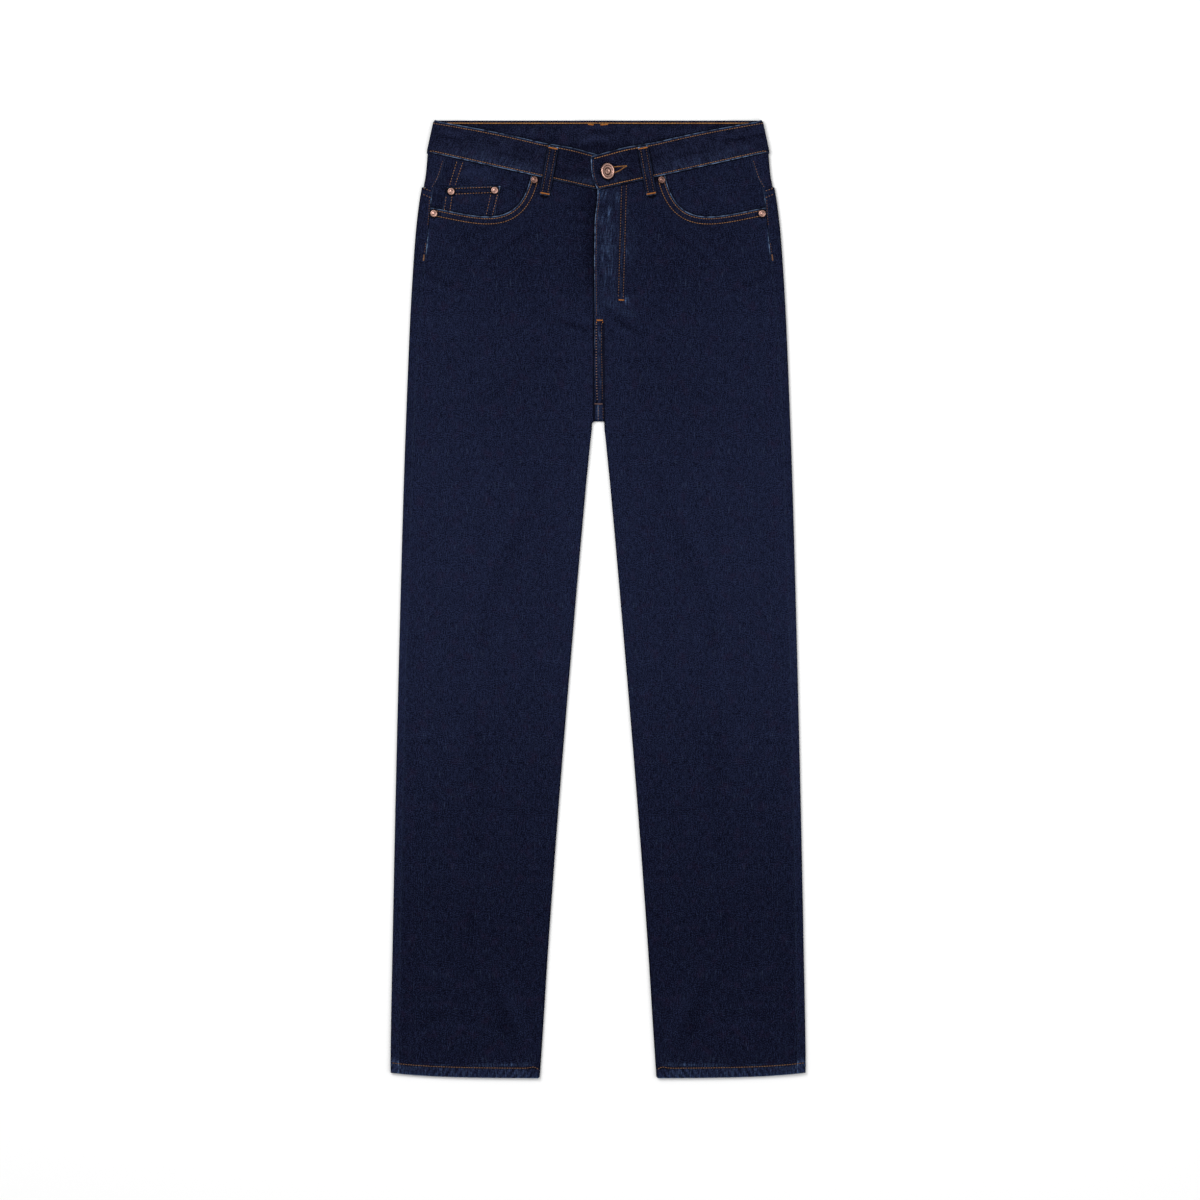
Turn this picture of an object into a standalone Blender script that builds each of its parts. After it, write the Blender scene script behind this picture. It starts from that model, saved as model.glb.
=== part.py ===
"""Straight leg jeans, fastened and laid flat on their back, waist towards +Y and front up.

Every cloth piece is a sheet of points halfway through the cloth, laid out row by row from the sizes
below, and a Solidify modifier gives it its wall. Sizes are in millimetres, and MM turns them into
metres where a mesh is made. Each side of the garment is worked out in its own plan: x runs outwards
from the centre line, y towards the waist from the middle of the length, and z up from the surface
that the garment lies on. Right and left are the wearer's, so the right side lies towards -X.
"""

import math
from typing import NamedTuple

import bmesh
import bpy
from mathutils import Matrix, Vector

MM = 0.001
SIDES = {"right": -1, "left": 1}

# Cloth
CLOTH = 1.2  # one layer of denim
HEM_WALL = 2.2  # turned-up hem
BAND_WALL = 2.4  # doubled waistband
LOOP_WALL = 1.8  # folded belt loop
SEAM = 0.3  # between two pieces that are sewn together
INSEAM = 0.85  # between front and back where both turn over at the inseam
LAYER = CLOTH + SEAM  # from one layer to the next
RIM_FADE = 12.0  # over which the cloth sinks from a fold to the flat

# Garment
HALF_LENGTH = 574.8
HEM_HEIGHT = 12.0
HEM_STEP = 1.2  # over which the hem's end thins out to one layer
HEM_RISE = 7.0  # of the outer corner of a hem above its inner corner
HEM_RISE_SHARE = 0.28  # of the leg's width, over which that rise fades
HEM_RISE_TOP = -480.0
CROTCH = 213.6
CROTCH_HALF_WIDTH = 7.3

# Seams of the seat
YOKE_CENTRE = 468.0  # yoke seam at the centre of the back
YOKE_FOLD = 494.6  # yoke seam at the outer fold
YOKE_FOLD_X = 211.0
YOKE_OUTSEAM = 491.2  # yoke seam at its front end
BACK_WAIST_CENTRE = 535.0
BACK_WAIST_FOLD = 536.0  # back waist seam where the outer fold starts
WAIST_CENTRE = 492.0  # waist seam at the centre of the front
WAIST_SLOPE = 0.221
WAIST_X = 201.7  # where the outer fold ends on the front

# Centre front
FLY_SEAM_X = 3.4  # the fly's folded edge lies this far to the wearer's right of the centre
FLY_SEAM_TOP = -0.8
FLY_UNDERLAP = 8.0  # of the right front under the left, past the centre
FLY_END = 335.0
FLY_LIFT = LAYER / 2
SEAT_SEAM_X = SEAM / 2
CROTCH_EASE = 0.5  # extra room between right and left where they turn over at the crotch

# Hand pocket opening, as a cubic curve from the waist seam to the outseam
POCKET_START = (80.0, 509.5)
POCKET_START_PULL = (95.0, 440.0)
POCKET_END_PULL = (140.0, 456.5)
POCKET_END = (200.6, 469.2)
FACING_START = (66.0, 494.0)
FACING_START_PULL = (72.0, 435.0)
FACING_END_PULL = (115.0, 436.0)
FACING_END = (203.4, 452.0)

# Coin pocket on the right facing: x, y of its corners
COIN_TOP_OUTER = (181.3, 495.0)
COIN_TOP_INNER = (117.1, 496.2)
COIN_FOOT_INNER = (125.5, 450.5)
COIN_FOOT_OUTER = (188.5, 459.0)

# Back pockets
BACK_POCKET_X = 108.0
BACK_POCKET_HALF_TOP = 75.0
BACK_POCKET_HALF_FOOT = 63.0
BACK_POCKET_TOP = 451.0
BACK_POCKET_TILT = (YOKE_FOLD - YOKE_CENTRE) / YOKE_FOLD_X
BACK_POCKET_CORNER = 324.0
BACK_POCKET_POINT = 302.0

# Waistband
BAND_LEVEL = 5.6  # middle of its front part, above the surface
BAND_LAP = 1.4  # how far its ends lie above and below that level
BAND_CORNER_X = 197.5
BAND_FOOT_X = 205.9
BAND_TOP_CENTRE = 530.1
BAND_TOP_SLOPE = 0.2243
BAND_TOP_BOW = 3.3
BAND_END_TOP = -7.9
BAND_END_FOOT = 0.5
BAND_UNDERLAP = 34.0
BAND_UNDERLAP_INSET = 1.5
BAND_EASE = 0.35  # extra room above the yoke where both turn round the fold

# Belt loops
LOOP_WIDTH = 12.2
LOOP_TOP = (52.8, 544.0)
LOOP_FOOT = (64.2, 485.0)
LOOP_BULGE = 1.4
BACK_LOOP_FOOT = 516.0
SIDE_LOOP_X = 188.5

# Metal
RIVET_AT = {
    "waist": (76.5, 503.6),
    "side": (197.0, 463.1),
    "coin_outer": (176.3, 489.7),
    "coin_inner": (124.0, 491.0),
}
BUTTON_X = 11.6
BUTTON_Y = 514.7
BUTTON_TILT = 22.0
BUTTONHOLE_TIP = (35.0, 519.2)
BUTTONHOLE_WIDTH = 2.2
BUTTON_RADIUS = 9.5
EYELET_RADIUS = 3.4
SHANK_RADIUS = 2.4
TURNED_STEPS = 14

# Where a row of points lies across a quarter round, as shares of its width
CURL_SHARES = [1 - math.cos(math.radians(angle)) for angle in (0, 30, 60, 90)]
FRONT_WAIST_SHARES = (0.06, 0.14, 0.22, 0.30, 0.38)
FRONT_POCKET_SHARES = (0.46, 0.54, 0.61, 0.68, 0.76, 0.84, 0.92, 1.0)
BACK_FLAT_SHARES = (0.065, 0.15, 0.28, 0.42, 0.56, 0.70, 0.82, 0.91, 1.0)
FOLD_ANGLES = (-60, -30, 0, 30, 60, 90)
RETURN_SHARES = (0.5, 1.0)
LEG_ROWS = 15


class Section(NamedTuple):
    """The garment across at one height: sizes from the centre line, and the front cloth's height."""

    height: float
    outer: float  # to the outer fold
    gap: float  # to the inner edge of the leg
    inset: float  # from the outer fold to the outseam on the front
    level: float  # middle of the front cloth, away from its edges
    rim: float  # middle of the front cloth at a fold


PANELS = (
    Section(-574.8, 249.1, 70.0, 10.2, 3.6, 3.9),
    Section(-560.0, 249.2, 69.0, 10.2, 3.6, 3.9),
    Section(-520.0, 248.8, 66.3, 10.0, 2.4, 4.0),
    Section(-420.0, 246.9, 60.0, 9.5, 2.4, 4.0),
    Section(-240.0, 243.2, 46.7, 9.2, 2.4, 4.0),
    Section(0.0, 237.3, 26.7, 9.2, 2.4, 4.0),
    Section(143.4, 233.2, 13.9, 9.4, 2.5, 4.1),
    Section(213.6, 230.7, 7.3, 9.7, 3.0, 4.2),
    Section(287.4, 227.8, 7.3, 10.2, 4.0, 4.5),
    Section(335.4, 225.7, 7.3, 11.2, 4.4, 4.6),
    Section(383.4, 223.0, 7.3, 13.0, 4.7, 4.7),
    Section(431.4, 219.7, 7.3, 14.5, 5.0, 4.8),
    Section(455.4, 217.4, 7.3, 14.2, 5.1, 4.8),
    Section(479.4, 214.3, 7.3, 14.4, 5.1, 4.8),
    Section(494.6, 211.6, 7.3, 13.5, 5.1, 4.8),
)
YOKES = (
    Section(494.7, 209.6, 7.3, 11.5, 5.1, 4.8),
    Section(507.0, 207.3, 7.3, 15.9, 5.1, 4.8),
    Section(520.0, 205.9, 7.3, 18.8, 5.1, 4.8),
    Section(537.2, 204.4, 7.3, 22.8, 5.1, 4.8),
)


class SoftFold(NamedTuple):
    """A long low swell in the front cloth of one leg."""

    side: str
    x: float
    y: float
    half_length: float
    half_width: float
    rise: float
    lean: float  # degrees from the leg's length


SOFT_FOLDS = (
    SoftFold("right", 150.0, 60.0, 190.0, 48.0, 1.2, 8.0),
    SoftFold("right", 118.0, -190.0, 170.0, 46.0, 1.0, -12.0),
    SoftFold("right", 172.0, -405.0, 130.0, 44.0, 1.3, 15.0),
    SoftFold("left", 142.0, 25.0, 180.0, 48.0, 1.2, -6.0),
    SoftFold("left", 188.0, -230.0, 160.0, 42.0, 1.0, 10.0),
    SoftFold("left", 126.0, -425.0, 125.0, 44.0, 1.3, -14.0),
)


class Row(NamedTuple):
    """Where a row of a panel starts, at its inseam, crotch or centre edge, and where it ends."""

    x: float
    y: float
    turn: float  # degrees from straight outwards, in which the row leaves its edge
    outer_y: float


# ---------------------------------------------------------------- shapes of the garment


def smooth(low, high, value):
    """Rise from 0 at low to 1 at high, level at both ends."""
    share = min(max((value - low) / (high - low), 0.0), 1.0)
    return share * share * (3 - 2 * share)


def mix(start, end, share):
    """The value at this share of the way from start to end."""
    return start + (end - start) * share


def dome(share):
    """Height of a quarter round at this share of its width, both from 0 to 1."""
    return math.sqrt(1 - (1 - min(max(share, 0.0), 1.0)) ** 2)


def read(table, column, height):
    """A column of a table of sections at any height, on a curve that never overshoots its rows."""
    rows = [(row.height, getattr(row, column)) for row in table]
    if height <= rows[0][0]:
        return rows[0][1]
    if height >= rows[-1][0]:
        return rows[-1][1]
    steps = [(b[1] - a[1]) / (b[0] - a[0]) for a, b in zip(rows, rows[1:])]
    slopes = [steps[0]]
    slopes += [0.0 if p * q <= 0 else 2 * p * q / (p + q) for p, q in zip(steps, steps[1:])]
    slopes.append(steps[-1])
    i = max(k for k, row in enumerate(rows[:-1]) if row[0] <= height)
    span = rows[i + 1][0] - rows[i][0]
    t = (height - rows[i][0]) / span
    start = (1 + 2 * t) * (1 - t) ** 2 * rows[i][1] + t * (1 - t) ** 2 * span * slopes[i]
    end = t * t * (3 - 2 * t) * rows[i + 1][1] + t * t * (t - 1) * span * slopes[i + 1]
    return start + end


def section(column, y):
    """A column of the panels' table, or above the yoke seam of the yokes' table."""
    return read(YOKES if y > YOKE_FOLD else PANELS, column, y)


def cubic(points, t):
    """The point at t, from 0 to 1, of a cubic curve through the first and last of four points."""
    weights = ((1 - t) ** 3, 3 * t * (1 - t) ** 2, 3 * t * t * (1 - t), t**3)
    return tuple(sum(w * p[axis] for w, p in zip(weights, points)) for axis in (0, 1))


def outseam(y):
    """The outseam on the front."""
    return section("outer", y) - section("inset", y)


def waist_seam(x):
    """The lower edge of the waistband's front part."""
    return WAIST_CENTRE + WAIST_SLOPE * abs(x)


WAIST_TOP = waist_seam(WAIST_X)


def band_top(x):
    """The upper edge of the waistband's front part."""
    bow = math.sin(math.pi * min(abs(x) / BAND_CORNER_X, 1.0))
    return BAND_TOP_CENTRE + BAND_TOP_SLOPE * abs(x) + BAND_TOP_BOW * bow


def fly_edge(y):
    """The folded edge of the left front, in the left side's own x."""
    return mix(-FLY_SEAM_X, -FLY_SEAM_TOP, smooth(440.0, 492.0, y))


def wall_at(y):
    """Thickness of a panel."""
    return HEM_WALL if y < HEM_HEIGHT + HEM_STEP / 2 - HALF_LENGTH else CLOTH


def lifted(x, y):
    """How far the back cloth lies above the surface, over the back pocket and belt loops under it."""
    across_pocket = smooth(3, 17, abs(x)) * (1 - smooth(199, 213, abs(x)))
    pocket = across_pocket * smooth(275, 296, y) * (1 - smooth(484, 505, y))
    across_loops = 1 - smooth(15, 27, abs(x)) + smooth(150, 168, abs(x))
    loops = across_loops * smooth(486, 500, y)
    return LAYER * min(pocket + loops, 1.0)


def base(x, y):
    """Middle of the back cloth."""
    return wall_at(y) / 2 + lifted(x, y)


def curl_width(y):
    """Radius of the round edge of a leg, halfway through the cloth."""
    return (section("rim", y) - wall_at(y) / 2) / 2


def from_gap(x, y):
    """Distance in plan to the edge of the cloth round the gap between the legs."""
    inset = wall_at(y) / 2
    if y < CROTCH + inset:
        return max(abs(x) - section("gap", y) - inset, 0.0)
    return math.hypot(max(abs(x) - CROTCH_HALF_WIDTH - inset, 0.0), y - CROTCH - inset)


def swell(side, x, y):
    """Rise of the long low folds in a leg's front."""
    rise = 0.0
    for fold in SOFT_FOLDS:
        if fold.side != side:
            continue
        lean = math.radians(fold.lean)
        along = (y - fold.y) * math.cos(lean) + (x - fold.x) * math.sin(lean)
        across = (x - fold.x) * math.cos(lean) - (y - fold.y) * math.sin(lean)
        reach = math.hypot(along / fold.half_length, across / fold.half_width)
        rise += fold.rise * (1 - smooth(0, 1, reach))
    return rise


def coin_lift(side, x, y):
    """Extra height of the right front where the coin pocket lies under its edge."""
    if side != "right":
        return 0.0
    across = smooth(80, 105, x) * (1 - smooth(197, 221, x))
    return LAYER * across * smooth(405, 435, y) * (1 - smooth(472, 500, y))


def facing_level(side, x, y):
    """Middle of the layer just above the facing, without the coin pocket's lift."""
    level = section("level", y)
    curl = curl_width(y)
    fold = max(section("outer", y) - wall_at(y) / 2 - curl - abs(x), 0.0)
    edge = math.exp(-fold / RIM_FADE) + math.exp(-max(from_gap(x, y) - curl, 0.0) / RIM_FADE)
    lap = SIDES[side] * FLY_LIFT * (1 - smooth(20, 70, abs(x))) * smooth(290, 325, y)
    return level + (section("rim", y) - level) * edge + lap + swell(side, x, y)


def top(side, x, y):
    """Middle of the front cloth."""
    return facing_level(side, x, y) + coin_lift(side, x, y)


def band_level(side, x):
    """Middle of the waistband's front part: the left end laps over the right one."""
    return BAND_LEVEL + SIDES[side] * BAND_LAP * (1 - smooth(40, 85, x))


def outside(side, x, y):
    """Upper face of the front, which belt loops and rivets lie on."""
    panel = top(side, x, y) + CLOTH / 2
    band = band_level(side, x) + BAND_WALL / 2
    return mix(panel, max(band, panel), smooth(waist_seam(x) - 9, waist_seam(x) - 1, y))


def hem_rise(x, y):
    """How much higher a point of a lowest row lies towards the leg's outer fold."""
    across = (section("outer", y) - x) / (section("outer", y) - section("gap", y))
    fade = 1 - smooth(HEM_HEIGHT - HALF_LENGTH, HEM_RISE_TOP, y)
    return HEM_RISE * math.exp(-across / HEM_RISE_SHARE) * fade


# ---------------------------------------------------------------- meshes and materials


def clear_scene():
    """Remove every object of the open scene."""
    for item in list(bpy.data.objects):
        bpy.data.objects.remove(item)


def material(name, colour, roughness, metallic=0.0):
    """A Principled BSDF of one colour."""
    made = bpy.data.materials.new(name)
    made.use_nodes = True
    shader = made.node_tree.nodes["Principled BSDF"]
    shader.inputs["Base Color"].default_value = (*colour, 1.0)
    shader.inputs["Roughness"].default_value = roughness
    shader.inputs["Metallic"].default_value = metallic
    return made


def denim(name, shade=1.0):
    """Dark indigo denim, lighter or darker by a factor."""
    return material(name, (0.010 * shade, 0.013 * shade, 0.030 * shade), 0.85)


def copper(name):
    """Rose copper plating."""
    return material(name, (0.60, 0.29, 0.20), 0.32, 1.0)


def place(name, mesh_builder, finish, rounded=True):
    """Make an object of a bmesh, with its finish."""
    mesh = bpy.data.meshes.new(name)
    mesh_builder.to_mesh(mesh)
    mesh_builder.free()
    mesh.materials.append(finish)
    if rounded:
        mesh.shade_smooth()
        mesh.set_sharp_from_angle(angle=math.radians(50))
    made = bpy.data.objects.new(name, mesh)
    bpy.context.scene.collection.objects.link(made)
    return made


def cloth(name, side, rows, finish, wall=CLOTH, row_walls=None):
    """A piece of cloth through rows of points (x, y, z), in a side's own plan.

    row_walls gives the thickness along each row where it isn't the same all over.
    """
    sign = SIDES[side]
    sheet = bmesh.new()
    points = [[sheet.verts.new((sign * x * MM, y * MM, z * MM)) for x, y, z in row] for row in rows]
    for lower, upper in zip(points, points[1:]):
        for i in range(len(lower) - 1):
            corners = [lower[i], lower[i + 1], upper[i + 1], upper[i]]
            sheet.faces.new(corners if sign > 0 else corners[::-1])
    made = place(name, sheet, finish)
    solidify = made.modifiers.new("wall", "SOLIDIFY")
    solidify.offset = 0.0
    solidify.use_even_offset = True
    solidify.use_quality_normals = True
    solidify.thickness = wall * MM
    if row_walls:
        group = made.vertex_groups.new(name="thickness")
        width = len(rows[0])
        for r, row_wall in enumerate(row_walls):
            group.add(list(range(r * width, (r + 1) * width)), row_wall / wall, "REPLACE")
        solidify.vertex_group = group.name
        solidify.thickness_vertex_group = 0.0
    return made


def turned(name, profile, finish, at, tilt=0.0):
    """A piece turned from a profile of (radius, height), standing at a point, tilted about Y."""
    shape = bmesh.new()
    ends = [shape.verts.new((radius * MM, 0, height * MM)) for radius, height in profile]
    edges = [shape.edges.new(pair) for pair in zip(ends, ends[1:])]
    bmesh.ops.spin(
        shape,
        geom=ends + edges,
        cent=(0, 0, 0),
        axis=(0, 0, 1),
        angle=2 * math.pi,
        steps=TURNED_STEPS,
        use_merge=True,
    )
    bmesh.ops.remove_doubles(shape, verts=shape.verts, dist=1e-6)
    bmesh.ops.recalc_face_normals(shape, faces=shape.faces)
    made = place(name, shape, finish)
    made.matrix_world = Matrix.Translation(Vector(at) * MM) @ Matrix.Rotation(tilt, 4, "Y")
    return made


# ---------------------------------------------------------------- panels


def leg_rows():
    """Rows of a leg from the hem to just below the crotch."""
    hem_end = HEM_HEIGHT - HALF_LENGTH
    heights = [-HALF_LENGTH, hem_end, hem_end + HEM_STEP]
    first, last = hem_end + 28.0, CROTCH - 9.0
    heights += [mix(first, last, k / (LEG_ROWS - 1)) for k in range(LEG_ROWS)]
    return [Row(section("gap", y) + wall_at(y) / 2, y, 0.0, y) for y in heights]


def crotch_rows(edge):
    """Rows that start along the crotch, and fan out to the outer fold."""
    line = CROTCH + CLOTH / 2
    curl = curl_width(line)
    return [
        Row(CROTCH_HALF_WIDTH + CLOTH / 2, line, 45.0, line + 2),
        Row(edge(line), line, 60.0, line + 12),
        Row(edge(line), line + curl, 18.0, line + 20),
        Row(edge(line), line + 14, 0.0, line + 28),
        Row(edge(line), line + 36, 0.0, line + 46),
    ]


def seat_rows(edge, heights):
    """Level rows from the centre edge."""
    return [Row(edge(y), y, 0.0, y) for y in heights]


def curl_points(row):
    """The first points of a row in plan, close together across the round edge that it starts on."""
    curl = curl_width(row.y)
    turn = math.radians(row.turn)
    reach = [curl * share for share in CURL_SHARES]
    return [(row.x + math.cos(turn) * r, row.y + math.sin(turn) * r) for r in reach]


def flat_points(start, end, shares):
    """The next points of a row in plan, at shares of the way from start to end."""
    return [(mix(start[0], end[0], s), mix(start[1], end[1], math.sqrt(s))) for s in shares]


def inseam_gap(y):
    """Gap between front and back at the inseam, wider where thick edges meet at an angle."""
    return INSEAM * wall_at(y) / CLOTH


def front_height(side, x, y):
    """Middle of a front panel, which turns down to the inseam at the gap between the legs."""
    low = (section("rim", y) + wall_at(y) / 2 + inseam_gap(y)) / 2
    return mix(low, top(side, x, y), dome(from_gap(x, y) / curl_width(y)))


def back_height(x, y):
    """Middle of a back panel, which turns up to the inseam at the gap between the legs."""
    high = (section("rim", y) + wall_at(y) / 2 - inseam_gap(y)) / 2
    return mix(high, base(x, y), dome(from_gap(x, y) / curl_width(y)))


def front_edge(side):
    """The centre edge of a front panel in its own plan, as a function of height."""
    if side == "left":
        return fly_edge
    under = FLY_END + 4.0
    return lambda y: -FLY_UNDERLAP if y >= under else FLY_SEAM_X + SEAM + crotch_ease(y)


def front_panel(side):
    """A front: hem to waist seam, with the scooped pocket opening at its outer upper corner."""
    edge = front_edge(side)
    heights = (285.0, FLY_END - 4, FLY_END + 4, 370.0, 405.0)
    rows = leg_rows() + crotch_rows(edge) + seat_rows(edge, heights)
    shares = FRONT_WAIST_SHARES + FRONT_POCKET_SHARES
    plan = []
    for row in rows:
        start = curl_points(row)
        end = (outseam(row.outer_y) - SEAM / 2, row.outer_y)
        plan.append(start + flat_points(start[-1], end, shares))

    last, top_edge = plan[-1], front_top_edge(edge)
    for share in (0.36, 0.7, 1.0):
        row = [tuple(mix(a, b, share) for a, b in zip(*pair)) for pair in zip(last, top_edge)]
        for i, reach in enumerate(CURL_SHARES):
            row[i] = (edge(row[i][1]) + reach * curl_width(row[i][1]), row[i][1])
        plan.append(row)

    lifted_rows = [[(x, y + hem_rise(x, y)) for x, y in row] for row in plan]
    points = [
        [(x, lift, front_height(side, x, y)) for (x, y), (_, lift) in zip(row, moved)]
        for row, moved in zip(plan, lifted_rows)
    ]
    name = f"front_panel_{side}"
    return cloth(name, side, points, denim(name), HEM_WALL, panel_walls(points))


def panel_walls(rows):
    """Thickness of a panel along each row: the first two rows are the hem's."""
    return [HEM_WALL if r < 2 else CLOTH for r in range(len(rows))]


def front_top_edge(edge):
    """The upper edge of a front in plan: along the waist seam, then round the pocket opening."""
    line = []
    for share in CURL_SHARES:
        x = edge(WAIST_CENTRE) + share * curl_width(WAIST_CENTRE)
        line.append((x, waist_seam(x) - SEAM / 2))
    start = line[-1][0]
    for share in FRONT_WAIST_SHARES:
        x = mix(start, POCKET_START[0], share / FRONT_WAIST_SHARES[-1])
        line.append((x, waist_seam(x) - SEAM / 2))
    opening = (POCKET_START, POCKET_START_PULL, POCKET_END_PULL, POCKET_END)
    first = FRONT_WAIST_SHARES[-1]
    for share in FRONT_POCKET_SHARES:
        line.append(cubic(opening, (share - first) / (1 - first)))
    return line


def yoke_seam(x):
    """The yoke seam on the back."""
    return mix(YOKE_CENTRE, YOKE_FOLD, abs(x) / YOKE_FOLD_X)


def back_waist_seam(x):
    """The waist seam on the back."""
    return mix(BACK_WAIST_CENTRE, BACK_WAIST_FOLD, abs(x) / WAIST_X)


def waist_seam_round(share):
    """The waist seam from -1 at the start of the outer fold, by 0 at its end, to 1 at the outseam."""
    if share < 0:
        return mix(WAIST_TOP, BACK_WAIST_FOLD, -share)
    return waist_seam(mix(WAIST_X, outseam(WAIST_TOP), share))


def yoke_seam_round(share):
    """The yoke seam, at the same shares."""
    return mix(YOKE_FOLD, YOKE_OUTSEAM, max(share, 0.0))


def wrapped(start, flat_end, seam_below, seam_above, share):
    """Points of a row of a back piece above its last level row, round the fold to the outseam.

    start holds the row's first x values, and share says how far up it lies between the two edges,
    each given as a pair of functions: of x on the back, and of the share of the front return.
    """
    points = []
    for x in start + [mix(start[-1], flat_end, s) for s in BACK_FLAT_SHARES]:
        y = mix(seam_below[0](x), seam_above[0](x), share)
        points.append((x, y, base(x, y)))
    return points + fold_points(lambda s: mix(seam_below[1](s), seam_above[1](s), share))


def fold_points(height_at, side=None):
    """Points round the outer fold and along the front return to the outseam.

    height_at gives the height at a share of the return, and from -1 to 0 round the fold.
    """
    y = height_at(0.0)
    wall = wall_at(y)
    outer = section("outer", y) - wall / 2
    x_low = outer - curl_width(y)
    low, high = base(x_low, y), top(side or "left", x_low, y)
    middle, radius = (low + high) / 2, (high - low) / 2
    points = []
    for angle in FOLD_ANGLES:
        turn = math.radians(angle)
        x = outer - curl_width(y) * (1 - math.cos(turn))
        points.append((x, height_at(angle / 180 - 0.5), middle + radius * math.sin(turn)))
    for share in RETURN_SHARES:
        height = height_at(share)
        x = mix(x_low, outseam(height) + SEAM / 2, share)
        points.append((x, height, top(side or "left", x, height)))
    return points


def crotch_ease(y):
    """Room added at a centre edge near the crotch."""
    return CROTCH_EASE * (1 - smooth(CROTCH, CROTCH + 20, y))


def seat_edge(y):
    """The centre edge of a back panel in its own plan."""
    return SEAT_SEAM_X + crotch_ease(y)


def back_panel(side):
    """A back: hem to yoke seam, from the inseam and seat seam round the fold to the outseam."""
    edge = seat_edge
    heights = (275.0, 296.0, 345.0, 392.0, 440.0)
    points = []
    for row in leg_rows() + crotch_rows(edge) + seat_rows(edge, heights):
        start = curl_points(row)
        y = row.outer_y
        end = (section("outer", y) - wall_at(y) / 2 - curl_width(y), y)
        plan = start + flat_points(start[-1], end, BACK_FLAT_SHARES)
        made = [(x, h, back_height(x, h)) for x, h in plan] + fold_points(lambda _: y, side)
        points.append([(x, h + hem_rise(x, h), z) for x, h, z in made])

    below = heights[-1]
    start = [SEAT_SEAM_X + reach * curl_width(below) for reach in CURL_SHARES]
    level = (lambda _: below, lambda _: below)
    seam = (lambda x: yoke_seam(x) - SEAM / 2, lambda s: yoke_seam_round(s) - SEAM / 2)
    for share in (0.5, 1.0):
        y = mix(below, YOKE_FOLD, share)
        flat_end = section("outer", y) - CLOTH / 2 - curl_width(y)
        points.append(wrapped(start, flat_end, level, seam, share))
    name = f"back_panel_{side}"
    return cloth(name, side, points, denim(name), HEM_WALL, panel_walls(points))


def yoke(side):
    """A yoke: between the back panel and the waistband, from the centre round to the outseam."""
    start = [SEAT_SEAM_X + reach * curl_width(YOKE_FOLD) for reach in CURL_SHARES]
    seam = (lambda x: yoke_seam(x) + SEAM / 2, lambda s: yoke_seam_round(s) + SEAM / 2)
    waist = (
        lambda x: back_waist_seam(x) - SEAM / 2,
        lambda s: waist_seam_round(s) - SEAM / 2,
    )
    points = []
    for share in (0.0, 0.3, 0.65, 1.0):
        y = mix(YOKE_FOLD, WAIST_TOP, share)
        flat_end = section("outer", y) - CLOTH / 2 - curl_width(y)
        points.append(wrapped(start, flat_end, seam, waist, share))
    name = f"yoke_{side}"
    return cloth(name, side, points, denim(name))


# ---------------------------------------------------------------- pockets


def pocket_facing(side):
    """The cloth that shows in a hand pocket's opening, and reaches a little way under the front."""
    foot = (FACING_START, FACING_START_PULL, FACING_END_PULL, FACING_END)
    columns, rows = 8, 5
    points = []
    for r in range(rows + 1):
        share = r / rows
        line = []
        for c in range(columns + 1):
            low = cubic(foot, c / columns)
            x_top = mix(FACING_START[0], outseam(WAIST_TOP - 4.5) - SEAM / 2, c / columns)
            x = mix(low[0], x_top, share)
            y = mix(low[1], waist_seam(x_top) - SEAM / 2, share)
            if c == columns:
                x = outseam(y) - SEAM / 2
            line.append((x, y, facing_level(side, x, y) - LAYER))
        points.append(line)
    name = f"pocket_facing_{side}"
    return cloth(name, side, points, denim(name, 0.9))


def coin_pocket():
    """A small patch pocket on the right facing, its lower end under the front."""
    columns, rows = 5, 3
    points = []
    for r in range(rows + 1):
        line = []
        for c in range(columns + 1):
            low = [mix(a, b, c / columns) for a, b in zip(COIN_FOOT_INNER, COIN_FOOT_OUTER)]
            high = [mix(a, b, c / columns) for a, b in zip(COIN_TOP_INNER, COIN_TOP_OUTER)]
            x, y = (mix(a, b, r / rows) for a, b in zip(low, high))
            line.append((x, y, facing_level("right", x, y)))
        points.append(line)
    return cloth("coin_pocket", "right", points, denim("coin_pocket", 1.1))


def back_pocket(side):
    """A patch pocket with a pointed foot, flat on the surface under the back panel."""
    columns, rows = 6, 4
    points = []
    for r in range(rows + 1):
        line = []
        for c in range(columns + 1):
            across = 2 * c / columns - 1
            foot = mix(BACK_POCKET_POINT, BACK_POCKET_CORNER, abs(across))
            head = BACK_POCKET_TOP + BACK_POCKET_TILT * across * BACK_POCKET_HALF_TOP
            half = mix(BACK_POCKET_HALF_FOOT, BACK_POCKET_HALF_TOP, r / rows)
            line.append((BACK_POCKET_X + across * half, mix(foot, head, r / rows), CLOTH / 2))
        points.append(line)
    name = f"back_pocket_{side}"
    return cloth(name, side, points, denim(name))


# ---------------------------------------------------------------- waistband and belt loops


def band_end(share):
    """x of the waistband's upper end at a share of its height."""
    return mix(BAND_END_TOP, BAND_END_FOOT, (1 - share) ** 3)


def front_station(side, x, tuck=0.0):
    """The waistband's front across at x, as (x, lower y, upper y, z)."""
    return (x, waist_seam(x) + SEAM / 2 + tuck, band_top(x) - tuck, band_level(side, x))


def fold_stations(side):
    """The waistband round one outer fold, from the back to the front, as pairs of edge points."""
    low = BAND_WALL / 2 + lifted(BAND_FOOT_X, WAIST_TOP)
    middle, radius = (low + BAND_LEVEL) / 2, (BAND_LEVEL - low) / 2
    stations = []
    for angle in (-90, *FOLD_ANGLES):
        turn = math.radians(angle)
        inset = BAND_WALL / 2 + radius * (1 - math.cos(turn))
        seam = waist_seam_round(angle / 180 - 0.5) + SEAM / 2
        foot = (BAND_FOOT_X - inset, seam + BAND_EASE)
        head = (BAND_CORNER_X - inset, HALF_LENGTH)
        stations.append((foot, head, middle + radius * math.sin(turn)))
    return stations


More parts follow.
